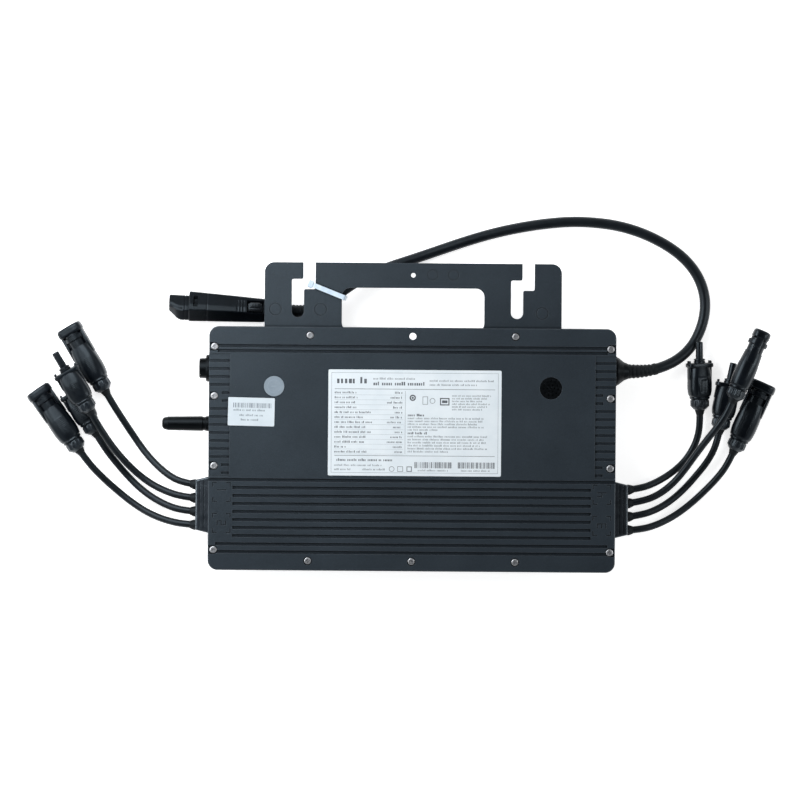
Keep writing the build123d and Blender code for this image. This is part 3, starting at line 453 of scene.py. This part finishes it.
def set_stage():
    """Camera straight above, a pale lit floor and soft studio light, strongest from the upper left."""
    scene = bpy.context.scene
    view_width, distance, sensor = 0.656, 6.0, 36.0
    camera = bpy.data.cameras.new("camera")
    camera.sensor_width = sensor
    camera.lens = sensor * distance / view_width
    camera.clip_end = 50.0
    obj = bpy.data.objects.new("camera", camera)
    scene.collection.objects.link(obj)
    obj.location = (-0.0102, 0.0405, TOP_Z * MM + distance)
    obj.rotation_euler = (0.0, 0.0, math.radians(0.45))
    scene.camera = obj

    floor_mesh = bpy.data.meshes.new("floor")
    half = 12.0
    corners = [(-half, -half, 0), (half, -half, 0), (half, half, 0), (-half, half, 0)]
    floor_mesh.from_pydata(corners, [], [(0, 1, 2, 3)])
    floor = bpy.data.objects.new("floor", floor_mesh)
    scene.collection.objects.link(floor)
    pale = Surface("floor_paper", rough=0.9, specular=0.1)
    pale.colour(pale.mix(pale.noise(0.6, 2.0), (0.93, 0.93, 0.93), (0.96, 0.96, 0.96)))
    pale.shader.inputs["Emission Color"].default_value = (1.0, 1.0, 1.0, 1.0)
    pale.shader.inputs["Emission Strength"].default_value = 0.70
    floor_mesh.materials.append(pale.material)

    scene.world = studio_world()
    scene.view_settings.view_transform = "Standard"
    softbox("key", (-0.38, 0.35, 0.50), (-0.10, 0.07, 0.0), (0.55, 0.55), 4.7, (0.95, 0.975, 1.0))
    softbox("right_strip", (1.0, 0.10, 0.62), (0.22, 0.0, 0.0), (0.10, 0.9), 2.6, (1.0, 0.99, 0.98))
    softbox("left_strip", (-1.0, -0.10, 0.62), (-0.22, 0.0, 0.0), (0.10, 0.9), 2.2, (0.97, 0.985, 1.0))


# ---------------------------------------------------------------- mesh building, in millimetres
def interpolate(stations, x):
    """The values of a smooth curve through (x, value, value, ...) stations."""
    k = 0
    while k < len(stations) - 2 and x > stations[k + 1][0]:
        k += 1
    low, high = stations[k], stations[k + 1]
    before, after = stations[max(k - 1, 0)], stations[min(k + 2, len(stations) - 1)]
    span = high[0] - low[0]
    u = min(max((x - low[0]) / span, 0.0), 1.0)
    values = []
    for a, b, previous, following in zip(low[1:], high[1:], before[1:], after[1:]):
        start = (b - previous) / (high[0] - before[0]) * span
        end = (following - a) / (after[0] - low[0]) * span
        values.append((2 * u**3 - 3 * u**2 + 1) * a + (u**3 - 2 * u**2 + u) * start
                      + (3 * u**2 - 2 * u**3) * b + (u**3 - u**2) * end)
    return values


def steps(start, end, size):
    """Evenly spaced numbers from start to end, about size apart."""
    count = max(1, round((end - start) / size))
    return [start + (end - start) * k / count for k in range(count + 1)]


def circle(x, radius, segments, middle_y=0.0):
    """A ring of points round the X axis, turning from +Y towards +Z."""
    turns = [2 * math.pi * i / segments for i in range(segments)]
    return [(x, middle_y + radius * math.cos(turn), radius * math.sin(turn)) for turn in turns]


class Solid:
    """A mesh put together from turned, lofted and boxed parts, all in one local frame."""

    def __init__(self):
        self.points = []
        self.faces = []

    def rings(self, rings, start_cap=True, end_cap=True):
        """A skin over rings of points. Each ring turns from +Y towards +Z."""
        first, count = len(self.points), len(rings[0])
        for ring in rings:
            self.points += ring
        for k in range(len(rings) - 1):
            here, there = first + k * count, first + (k + 1) * count
            for i in range(count):
                j = (i + 1) % count
                self.faces.append((here + i, here + j, there + j, there + i))
        last = first + (len(rings) - 1) * count
        if start_cap:
            self.faces.append(tuple(reversed(range(first, first + count))))
        if end_cap:
            self.faces.append(tuple(range(last, last + count)))

    def turned(self, profile, segments=56, relief=None, centre=(0.0, 0.0)):
        """A turned part about the X axis through (x, radius) points."""
        rings = []
        for x, radius in profile:
            ring = []
            for i in range(segments):
                turn = 2 * math.pi * i / segments
                r = radius + (relief(x, turn) if relief else 0.0)
                ring.append((x, centre[0] + r * math.cos(turn), centre[1] + r * math.sin(turn)))
            rings.append(ring)
        self.rings(rings)

    def lofted(self, stations, step=0.5, segments=112, relief=None, roof=None, end_cap=True):
        """A loft along X through (x, middle y, half width, half height, squareness) stations."""
        rings = []
        for x in steps(stations[0][0], stations[-1][0], step):
            middle, a, b, square = interpolate(stations, x)
            ring = []
            for i in range(segments):
                turn = 2 * math.pi * i / segments
                c, s = math.cos(turn), math.sin(turn)
                y = a * math.copysign(abs(c) ** (2 / square), c)
                z = b * math.copysign(abs(s) ** (2 / square), s)
                if roof and z > 0:
                    z = min(z, b * roof(y / a))
                if relief:
                    grow = 1.0 + relief(x, y, z) / math.hypot(y, z)
                    y, z = y * grow, z * grow
                ring.append((x, middle + y, z))
            rings.append(ring)
        self.rings(rings, end_cap=end_cap)

    def bored(self, segments, profile, middle_y=0.0):
        """Carries on from the skin's open last ring into a bore through (x, radius) points."""
        rings = [self.points[-segments:]]
        rings += [circle(x, radius, segments, middle_y) for x, radius in profile]
        self.rings(rings, start_cap=False)

    def box(self, low, high, bevel=0.4, segments=2):
        """A box with rounded edges between two corners."""
        mesh = bmesh.new()
        bmesh.ops.create_cube(mesh, size=1.0)
        for vert in mesh.verts:
            vert.co = [(a + b) / 2 + c * (b - a) for a, b, c in zip(low, high, vert.co)]
        bmesh.ops.bevel(mesh, geom=mesh.edges[:], offset=bevel, segments=segments, affect="EDGES",
                        profile=0.5)
        first = len(self.points)
        mesh.verts.index_update()
        self.points += [tuple(vert.co) for vert in mesh.verts]
        self.faces += [tuple(first + vert.index for vert in face.verts) for face in mesh.faces]
        mesh.free()

    def quad(self, corners):
        """One flat face on four corners."""
        first = len(self.points)
        self.points += corners
        self.faces.append((first, first + 1, first + 2, first + 3))

    def make(self, name, material, place=None, body="root", sharp=38.0, replaces=(), slot=None):
        """The finished object: its mesh lies in the row frame, and its origin at the frame's origin."""
        place = (place or Matrix()) @ Matrix.Scale(MM, 4)
        mesh = bpy.data.meshes.new(name)
        mesh.from_pydata([place @ Vector(point) for point in self.points], [], self.faces)
        mesh.polygons.foreach_set("use_smooth", [True] * len(mesh.polygons))
        mesh.set_sharp_from_angle(angle=math.radians(sharp))
        mesh.materials.append(material)
        obj = bpy.data.objects.new(name, mesh)
        bpy.context.scene.collection.objects.link(obj)
        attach(obj, body)
        if replaces:
            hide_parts(*replaces)
        return obj


def in_line(rear, direction, roll=0.0):
    """The place in metres whose X axis runs along direction from rear, turned about it by roll degrees."""
    x_axis = direction.normalized()
    z_axis = (Vector((0, 0, 1)) - x_axis * x_axis.z).normalized()
    y_axis = z_axis.cross(x_axis)
    place = Matrix((x_axis, y_axis, z_axis)).transposed().to_4x4()
    place.translation = rear
    return place @ Matrix.Rotation(math.radians(roll), 4, "X")


# ---------------------------------------------------------------- DC connectors
def bump(x, start, end, soft=0.6):
    """1 between start and end, falling smoothly to 0 over soft on either side."""
    rise = min(max((x - start) / soft + 0.5, 0.0), 1.0)
    fall = min(max((end - x) / soft + 0.5, 0.0), 1.0)
    return min(rise, fall)


def knurl(x, y, start, end):
    """Diamond knurling on the top and bottom of a grip, above a groove next to the nut."""
    inside = bump(x, start, end) * bump(abs(y), -1.0, 5.6)
    diamonds = math.sin(2.2 * (x + y)) * math.sin(2.2 * (x - y))
    return 0.30 * inside * max(diamonds, 0.0) - 0.55 * bump(x, 10.5, 11.5)


def nut_solid():
    """A compression nut: a domed rear, twelve grip ribs and a rounded front rim."""
    solid = Solid()

    def ribs(x, turn):
        return 0.5 * bump(x, 2.9, 8.0, 0.5) * max(math.cos(12 * turn), 0.0) ** 0.7

    profile = [(0, 3.1), (0, 4.4), (0.4, 5.1), (0.9, 5.6), (2.2, 6.8), (2.7, 7.2), (3.0, 7.3), (3.4, 7.3),
               (7.6, 7.3), (8.0, 7.3), (8.5, 7.25), (8.8, 7.1), (9.0, 6.8)]
    solid.turned(profile, 144, ribs)
    return solid


def wide_solid():
    """The socket half: knurled oval grip, ringed barrel, two latch arms with webs, and a lobed head."""
    solid = Solid()
    grip = [(9.0, 0, 7.9, 7.6, 2.2), (13, 0, 9.2, 8.2, 2.4), (19, 0, 10.0, 8.6, 2.5), (29, 0, 9.8, 8.4, 2.7),
            (36, 0, 9.2, 7.9, 2.6), (42, 0, 8.3, 7.4, 2.3)]
    solid.lofted(grip, relief=lambda x, y, z: knurl(x, y, 15.0, 31.0))
    solid.turned([(41, 6.8), (47.8, 6.8), (48.2, 8.0), (48.5, 8.3), (51.6, 8.3), (51.9, 8.0), (52.1, 6.9),
                  (54, 6.9)])
    for side in (-1, 1):
        low, high = sorted((side * 7.7, side * 9.9))
        solid.box((32.5, low, -3.2), (54.2, high, 3.2), 0.7)
        low, high = sorted((side * 5.0, side * 8.5))
        solid.box((36, low, -0.8), (54, high, 0.8), 0.2)
        low, high = sorted((side * 8.4, side * 10.1))
        solid.box((44, low, -2.2), (47, high, 2.2), 0.5)
    head = [(53.4, 0, 8.6, 5.6, 3.0), (53.9, 0, 10.0, 6.6, 3.2), (54.8, 0, 10.7, 7.3, 3.2),
            (57.5, 0, 10.8, 7.4, 3.2), (59.4, 0, 10.6, 7.3, 3.2), (60.4, 0, 10.1, 6.9, 3.0),
            (61.0, 0, 9.2, 6.2, 2.8)]
    solid.lofted(head, 0.25, 96, end_cap=False)
    solid.bored(96, [(61.0, 6.6), (60.8, 6.4), (59.0, 6.2), (59.0, 5.3), (60.6, 5.1), (60.9, 4.9), (60.9, 4.1),
                     (60.6, 3.8), (48.0, 3.8)])
    return solid


def slim_solid(panel):
    """The plug half: oval grip, latch shoulder with two arms and prongs, ringed neck and a thin nose.

    The grip has a raised flat with a sunk middle where panel is set, and is knurled where it is not."""
    solid = Solid()
    grip = [(9.0, 0, 7.9, 7.6, 2.2), (12.5, 0, 9.2, 8.2, 2.4), (17, 0, 9.9, 8.5, 2.5), (26, 0, 9.7, 8.2, 2.7),
            (31, 0, 9.1, 7.5, 2.7), (36, 0, 8.4, 6.6, 2.4)]

    def flat(x, y, z):
        raised = bump(x, 12.5, 27.5, 0.3) * bump(abs(y), -1.0, 4.6, 0.4) if z > 0 else 0.0
        sunk = bump(x, 15.0, 25.0, 0.4) * bump(abs(y), -1.0, 2.4, 0.4) if z > 0 else 0.0
        return 0.45 * raised - 0.35 * sunk - 0.55 * bump(x, 10.5, 11.5)

    solid.lofted(grip, relief=flat if panel else lambda x, y, z: knurl(x, y, 13.0, 28.0))
    solid.lofted([(35.0, 0, 10.4, 5.6, 4.0), (35.5, 0, 11.1, 6.2, 4.2), (37.8, 0, 11.2, 6.3, 4.2),
                  (38.3, 0, 10.9, 6.1, 4.2), (38.6, 0, 10.3, 5.6, 4.0)], 0.2)
    for side in (-1, 1):
        low, high = sorted((side * 8.8, side * 10.3))
        solid.box((25.0, low, -2.4), (36, high, 2.4), 0.5)
        low, high = sorted((side * 8.6, side * 10.4))
        solid.box((37, low, -2.2), (40.6, high, 2.2), 0.6)
    nose = [(38.0, 4.8), (40.2, 4.8), (40.4, 4.3), (41.0, 4.3), (41.2, 4.8), (42.0, 4.7), (42.4, 3.5),
            (42.6, 3.0), (44.0, 3.0), (44.2, 3.2), (44.8, 3.2), (45.0, 3.0), (55.0, 2.95), (55.6, 2.85),
            (56.0, 2.5), (56.0, 2.1), (55.6, 1.9), (47.5, 1.9)]
    solid.turned(nose)
    return solid


def make_connectors():
    """The eight DC connectors and nuts, each in line with the end of its lead."""
    made = {}
    bodies = {"wide": wide_solid(), "slim": slim_solid(panel=False)}
    with_panel = slim_solid(panel=True)
    nut = nut_solid()
    for name, kind in CONNECTOR_KINDS.items():
        before, rear = Vector(LEADS[name][-2]), Vector(LEADS[name][-1])
        place = in_line(rear, rear - before, CONNECTOR_ROLLS[name])
        solid = with_panel if name == "right_1" else bodies[kind]
        made[name] = [
            solid.make(f"{kind}_connector_{name}", CONNECTOR, place, replaces=[f"dc_connector_{name}"],
                       slot="connector_plastic"),
            nut.make(f"nut_{name}", NUT, place, replaces=[f"dc_nut_{name}"], slot="connector_plastic"),
        ]
    return made


# ---------------------------------------------------------------- AC plug
def ridge(u):
    """The top of the plug's section: a sloping face, a slightly tilted band and a steep face."""
    crest, fold = 0.24, -0.16
    level, steep = 1.0 - 0.25 * (crest - u), 1.0 - 0.95 * (u - crest)
    sloping = 1.0 - 0.25 * (crest - fold) - 0.60 * (fold - u)
    return min(level, steep, sloping, 0.985)


def plug_nut():
    """The nut on the cord's side: a flared rear with a groove, and sixteen grip ribs."""
    solid = Solid()
    flare = [(0.4, 6.4), (5, 6.7), (9, 8.6), (10, 9.2)]

    def ribs(x, turn):
        grip = 0.5 * bump(x, 10.2, 15.8, 0.5) * max(math.cos(16 * turn), 0.0) ** 0.7
        return grip - 0.4 * bump(x, 7.6, 8.6, 0.4)

    profile = [(0, 4.6), (0, 6.2), (0.4, 6.4)]
    profile += [(x, interpolate(flare, x)[0]) for x in steps(1, 9.6, 0.4)]
    profile += [(x, 9.2) for x in steps(9.8, 16.2, 0.4)] + [(16.7, 9.1), (17.0, 8.8)]
    solid.turned(profile, 144, ribs)
    return solid


def plug_housing():
    """The long body, with the latch's pocket, three grip grooves, a seam and a window."""
    solid = Solid()

    def dents(x, y, z):
        seam = -0.3 * bump(x, 64.4, 64.9, 0.4)
        if z <= 0:
            return seam
        window = -3.0 * bump(x, 72.6, 75.6, 0.3) * bump(y, -8.6, -0.2, 0.4)
        pocket = -5.2 * bump(x, 18.4, 31.6, 0.3) * bump(y, -7.4, 2.6, 0.4)
        grip = sum(-0.35 * bump(x, at, at + 1.2, 0.5) for at in (34.0, 36.4, 38.8)) * bump(y, -7.0, 1.5, 1.0)
        return window + pocket + grip + seam

    stations = [(17.0, 0, 9.2, 9.2, 2.2), (17.6, 0, 9.7, 9.7, 2.2), (24, -0.1, 10.05, 10.05, 2.3),
                (48, -0.7, 11.1, 11.1, 2.5), (70, -1.2, 12.0, 12.0, 2.5), (77.8, -1.36, 12.35, 12.35, 2.5),
                (79.0, -1.4, 12.3, 12.3, 2.4), (79.6, -1.4, 11.6, 11.6, 2.3)]
    solid.lofted(stations, 0.4, 144, dents, ridge)
    return solid


def plug_insert():
    """The mating end: a slanting barrel with a round shroud and four contacts, off the cord's axis."""
    solid = Solid()
    barrel = [(78.8, 0, 10.2, 10.2, 2.3), (80.2, 0, 10.2, 10.2, 2.3), (81.6, 0, 10.3, 10.3, 2.3),
              (86.5, -0.1, 10.2, 10.3, 2.3), (89.5, -0.9, 9.5, 10.0, 2.4), (92.5, -2.3, 8.1, 9.2, 2.4),
              (95.3, -3.5, 6.9, 8.2, 2.4), (96.0, -3.6, 6.3, 7.6, 2.3)]
    mouth_y, contacts = -3.5, 4

    def lines(x, y, z):
        key_groove = 0.5 * bump(x, 84.5, 97, 0.5) * bump(abs(y - 1.5), -1, 0.7, 0.4)
        return -0.35 * bump(x, 82.6, 83.2, 0.4) - key_groove

    solid.lofted(barrel, 0.3, 112, lines, ridge, end_cap=False)
    mouth = [(96.0, 5.8), (95.6, 5.6), (90.5, 5.6), (90.5, 4.9), (95.2, 4.9), (95.4, 4.7), (95.4, 0.6)]
    solid.bored(112, mouth, mouth_y)
    for k in range(contacts):
        turn = math.pi / 2 * k + 0.6
        middle = (2.7 * math.cos(turn) + mouth_y, 2.7 * math.sin(turn))
        solid.turned([(95.3, 1.2), (95.7, 1.1), (95.7, 0.7), (95.2, 0.6)], 24, centre=middle)
    return solid


def plug_latch():
    """The push latch in its pocket: a plate, a key with three grip bars, and a rib beside it."""
    solid = Solid()
    solid.box((21.0, -5.9, 7.6), (29.4, -1.7, 11.5), 0.7, 3)
    solid.box((19.3, -5.2, 7.6), (30.7, 1.1, 9.2), 0.6, 3)
    solid.box((20.6, -1.8, 8.0), (30.4, 0.1, 10.9), 0.5, 3)
    for x in (22.8, 24.8, 26.8):
        solid.box((x, -5.4, 11.0), (x + 0.9, -2.4, 11.8), 0.25)
    return solid


def make_plug():
    """The AC connector's four pieces, along its own axis from the cord to the mating end."""
    place = in_line(PLUG_REAR, PLUG_FRONT - PLUG_REAR)
    parts = (
        ("housing", plug_housing(), "plug_plastic", "root", PLUG),
        ("insert", plug_insert(), "insert_plastic", "root", PLUG),
        ("nut", plug_nut(), "plug_plastic", "root", PLUG),
        ("latch", plug_latch(), "latch_plastic", "plug_latch", LATCH),
    )
    return [solid.make(f"ac_plug_{name}", material, place, body=body, replaces=[f"ac_connector_{name}"],
                       slot=slot)
            for name, solid, slot, body, material in parts]


# ---------------------------------------------------------------- print on the labels
class Print:
    """Flat marks on a label, placed by fractions of its width and height from its top left corner."""

    def __init__(self, at, size, tilt=0.0, seed=1):
        self.at, self.size = at, size
        self.tilt = math.radians(tilt)
        self.random = random.Random(seed)
        self.solid = Solid()

    def point(self, u, v):
        """The point at the fractions u across and v down."""
        x, y = (u - 0.5) * self.size[0], (0.5 - v) * self.size[1]
        c, s = math.cos(self.tilt), math.sin(self.tilt)
        return (self.at[0] + x * c - y * s, self.at[1] + x * s + y * c, TOP_Z + PRINT_LIFT)

    def bar(self, u0, v0, u1, v1):
        """A filled block between two corners."""
        self.solid.quad([self.point(u0, v1), self.point(u1, v1), self.point(u1, v0), self.point(u0, v0)])

    def line(self, u0, u1, v, height, weight=0.5):
        """A line of greeked text: plain upright blocks in word-like groups, v being its middle."""
        tall, pitch = height / self.size[1], 0.62 * height / self.size[0]
        u, low, left = u0, v + tall / 2, self.random.randint(3, 8)
        while u < u1 - pitch * 0.4:
            if left == 0:
                u += pitch * 0.9
                left = self.random.randint(2, 9)
                continue
            top = low - tall * self.random.choice((0.72, 0.72, 0.72, 1.0))
            self.bar(u, top, u + pitch * weight * self.random.uniform(0.8, 1.35), low)
            u += pitch
            left -= 1

    def bars(self, u0, u1, v0, v1):
        """A striped block like a barcode, of random bars."""
        u = u0
        while u < u1:
            wide = self.random.choice((0.22, 0.22, 0.45, 0.7)) / self.size[0]
            self.bar(u, v0, min(u + wide, u1), v1)
            u += wide + self.random.choice((0.25, 0.25, 0.5, 0.8)) / self.size[0]

    def ring(self, u, v, radius, pen, sides=28):
        """A plain ring of the given radius and line width in millimetres."""
        for k in range(sides):
            corners = []
            for r, step in ((radius, k), (radius, k + 1), (radius - pen, k + 1), (radius - pen, k)):
                turn = 2 * math.pi * step / sides
                du, dv = r * math.cos(turn) / self.size[0], -r * math.sin(turn) / self.size[1]
                corners.append(self.point(u + du, v + dv))
            self.solid.quad(corners)

    def frame(self, u0, v0, u1, v1, pen):
        """A box drawn with a line pen millimetres wide."""
        du, dv = pen / self.size[0], pen / self.size[1]
        self.bar(u0, v0, u1, v0 + dv)
        self.bar(u0, v1 - dv, u1, v1)
        self.bar(u0, v0, u0 + du, v1)
        self.bar(u1 - du, v0, u1, v1)


def rating_print():
    """The rating label: heading, table of values, notes, marks and two striped blocks, all generic."""
    dark, grey = Print(LABEL_AT, LABEL_SIZE, seed=7), Print(LABEL_AT, LABEL_SIZE, seed=8)
    grey.frame(0.018, 0.028, 0.982, 0.972, 0.25)
    dark.line(0.05, 0.225, 0.10, 5.2, 0.6)
    grey.line(0.26, 0.50, 0.083, 1.7)
    dark.line(0.26, 0.56, 0.130, 2.9, 0.58)
    grey.line(0.585, 0.955, 0.100, 1.6)
    grey.line(0.585, 0.86, 0.138, 1.6)
    dark.bar(0.037, 0.180, 0.963, 0.184)
    ends = (0.165, 0.175, 0.155, 0.165, 0.25, 0.20, 0.255, 0.215, 0.245, 0.225, 0.21, 0.10, 0.225)
    for k, end in enumerate(ends):
        v = 0.215 + 0.0465 * k
        dark.line(0.037, end, v, 1.75)
        dark.line(0.43 - (0.045, 0.07, 0.09, 0.055)[k % 4], 0.43, v, 1.75)
        grey.bar(0.037, v + 0.022, 0.435, v + 0.0235)
    dark.bar(0.444, 0.20, 0.4455, 0.79)
    dark.ring(0.4875, 0.2625, 2.6, 1.1)
    dark.ring(0.4875, 0.2625, 0.9, 0.9)
    dark.frame(0.545, 0.25, 0.575, 0.325, 0.35)
    dark.ring(0.602, 0.29, 2.2, 0.35)
    dark.frame(0.645, 0.262, 0.70, 0.332, 0.9)
    dark.bar(0.657, 0.285, 0.688, 0.31)
    for k in range(6):
        grey.line(0.715, 0.94 - (0.0, 0.02, 0.05)[k % 3], 0.24 + 0.026 * k, 1.35)
    dark.line(0.46, 0.55, 0.425, 2.0, 0.6)
    for k, end in enumerate((0.90, 0.89, 0.86, 0.90, 0.64)):
        grey.line(0.46, end, 0.455 + 0.027 * k, 1.55)
    dark.line(0.46, 0.575, 0.595, 2.0, 0.6)
    for k, end in enumerate((0.92, 0.90, 0.91, 0.88, 0.92, 0.70)):
        grey.line(0.46, end, 0.626 + 0.0285 * k, 1.55)
    dark.bar(0.037, 0.808, 0.963, 0.812)
    dark.line(0.05, 0.375, 0.850, 2.1, 0.55)
    grey.line(0.037, 0.315, 0.900, 1.6)
    grey.line(0.037, 0.14, 0.940, 1.6)
    grey.line(0.20, 0.33, 0.940, 1.6)
    dark.ring(0.369, 0.935, 2.2, 0.35)
    dark.frame(0.402, 0.91, 0.434, 0.96, 0.35)
    dark.frame(0.455, 0.91, 0.485, 0.96, 0.6)
    for u0, u1 in ((0.50, 0.715), (0.75, 0.965)):
        dark.bars(u0, u1, 0.868, 0.925)
        grey.line(u0 + 0.02, u1 - 0.02, 0.946, 1.5)
    dark.solid.make("rating_print_dark", PRINT)
    grey.solid.make("rating_print_grey", GREY_PRINT)


def serial_print():
    """The serial label, with one striped block over three short lines, and the disc's plain ring and bar."""
    page = Print(SERIAL_AT, SERIAL_SIZE, -1.0, seed=11)
    page.bars(0.11, 0.93, 0.19, 0.36)
    page.line(0.12, 0.80, 0.44, 1.7)
    page.line(0.25, 0.77, 0.62, 1.7)
    page.line(0.28, 0.65, 0.78, 1.7)
    page.solid.make("serial_print", FAINT_PRINT)
    mark = Print(DISC_AT, (16.8, 16.8), seed=3)
    mark.ring(0.5, 0.5, 5.6, 0.7)
    mark.bar(0.36, 0.47, 0.64, 0.53)
    for corner in range(len(mark.solid.points)):
        x, y, z = mark.solid.points[corner]
        mark.solid.points[corner] = (x, y, z + DISC_LIFT)
    mark.solid.make("disc_mark", DISC_PRINT)


# ---------------------------------------------------------------- cords in Blender
def cord_curve(name, route, diameter, material):
    """One open NURBS spline on the route's points, with a round section whose radius is on the points."""
    data = bpy.data.curves.new(name, "CURVE")
    data.dimensions = "3D"
    data.bevel_depth = 1.0
    data.bevel_resolution = 6
    data.resolution_u = 10
    data.use_fill_caps = True
    spline = data.splines.new("NURBS")
    spline.points.add(len(route) - 1)
    for point, place in zip(spline.points, route):
        point.co = (*place, 1.0)
        point.radius = diameter / 2
    spline.order_u = 3
    spline.use_endpoint_u = True
    obj = bpy.data.objects.new(name, data)
    bpy.context.scene.collection.objects.link(obj)
    data.materials.append(material)
    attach(obj, "root")
    return obj


def spline_points(curve):
    """The curve's own line, in millimetres."""
    depth, curve.data.bevel_depth = curve.data.bevel_depth, 0.0
    bpy.context.view_layer.update()
    mesh = bpy.data.meshes.new_from_object(curve)
    points = [vert.co / MM for vert in mesh.vertices]
    bpy.data.meshes.remove(mesh)
    curve.data.bevel_depth = depth
    return points


def sleeve(name, points, profile, material, slot, segments=48):
    """A turned sleeve bent along points, from (distance along them, radius) pairs."""
    distances = [0.0]
    for a, b in zip(points, points[1:]):
        distances.append(distances[-1] + (b - a).length)

    def place(distance):
        k = 0
        while k < len(points) - 2 and distance > distances[k + 1]:
            k += 1
        heading = points[k + 1] - points[k]
        return points[k] + heading * ((distance - distances[k]) / heading.length), heading.normalized()

    solid = Solid()
    rings = []
    for distance, radius in profile:
        middle, heading = place(distance)
        across = Vector((0, 0, 1)).cross(heading).normalized()
        upright = heading.cross(across)
        rings.append([tuple(middle + across * c + upright * s) for _, c, s in circle(0.0, radius, segments)])
    solid.rings(rings)
    return solid.make(name, material, slot=slot)


def boot_profile(start, length, wide, narrow, fins):
    """A tapering strain relief with fins round it."""
    profile = [(start, narrow - 0.1), (start, wide)]
    for k in range(fins):
        at = start + 2.0 + (length - 4.0) * k / fins
        pitch = (length - 4.0) / fins
        radius = wide + (narrow - wide) * (at - start) / length
        profile += [(at, radius), (at + 0.15 * pitch, radius - 0.45), (at + 0.42 * pitch, radius - 0.5),
                    (at + 0.55 * pitch, radius - 0.1), (at + 0.75 * pitch, radius)]
    return profile + [(start + length - 0.6, narrow + 0.25), (start + length, narrow - 0.1)]


def make_cords(plug, connectors):
    """The AC cord and the eight leads, with their strain reliefs and seals. The pieces on their ends are
    passed in but not used.
    """
    ac = cord_curve("ac_cord", AC_ROUTE, AC_D, AC_SHEATH)
    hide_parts("ac_lead")
    line = spline_points(ac)
    sleeve("gland_boot", line, boot_profile(-0.6, 24.0, 6.0, 4.55, 6), RUBBER, "port_plastic")
    plug_boot = sleeve("plug_boot", line[::-1], boot_profile(-0.6, 22.0, 6.1, 4.55, 6), RUBBER,
                       "plug_plastic")
    collar = [(-0.4, 3.0), (-0.4, 4.3), (0.8, 4.3), (1.4, 4.1), (2.2, 3.9), (3.6, 3.35), (4.2, 3.2),
              (4.4, 2.85)]
    cone = [(-0.5, 2.85), (-0.5, 4.2), (0.6, 4.1), (1.6, 3.7), (3.2, 3.25), (3.8, 3.1), (4.0, 2.85)]
    for name, route in LEADS.items():
        lead = cord_curve(f"lead_{name}", route, LEAD_D, LEAD_SHEATH)
        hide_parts(f"dc_lead_{name}")
        line = spline_points(lead)
        sleeve(f"block_seal_{name}", line, collar, RUBBER, "block_plastic")
        seal = sleeve(f"nut_seal_{name}", line[::-1], cone, RUBBER, "connector_plastic")


set_stage()
dress_nodes()
make_cords(make_plug(), make_connectors())
rating_print()
serial_print()
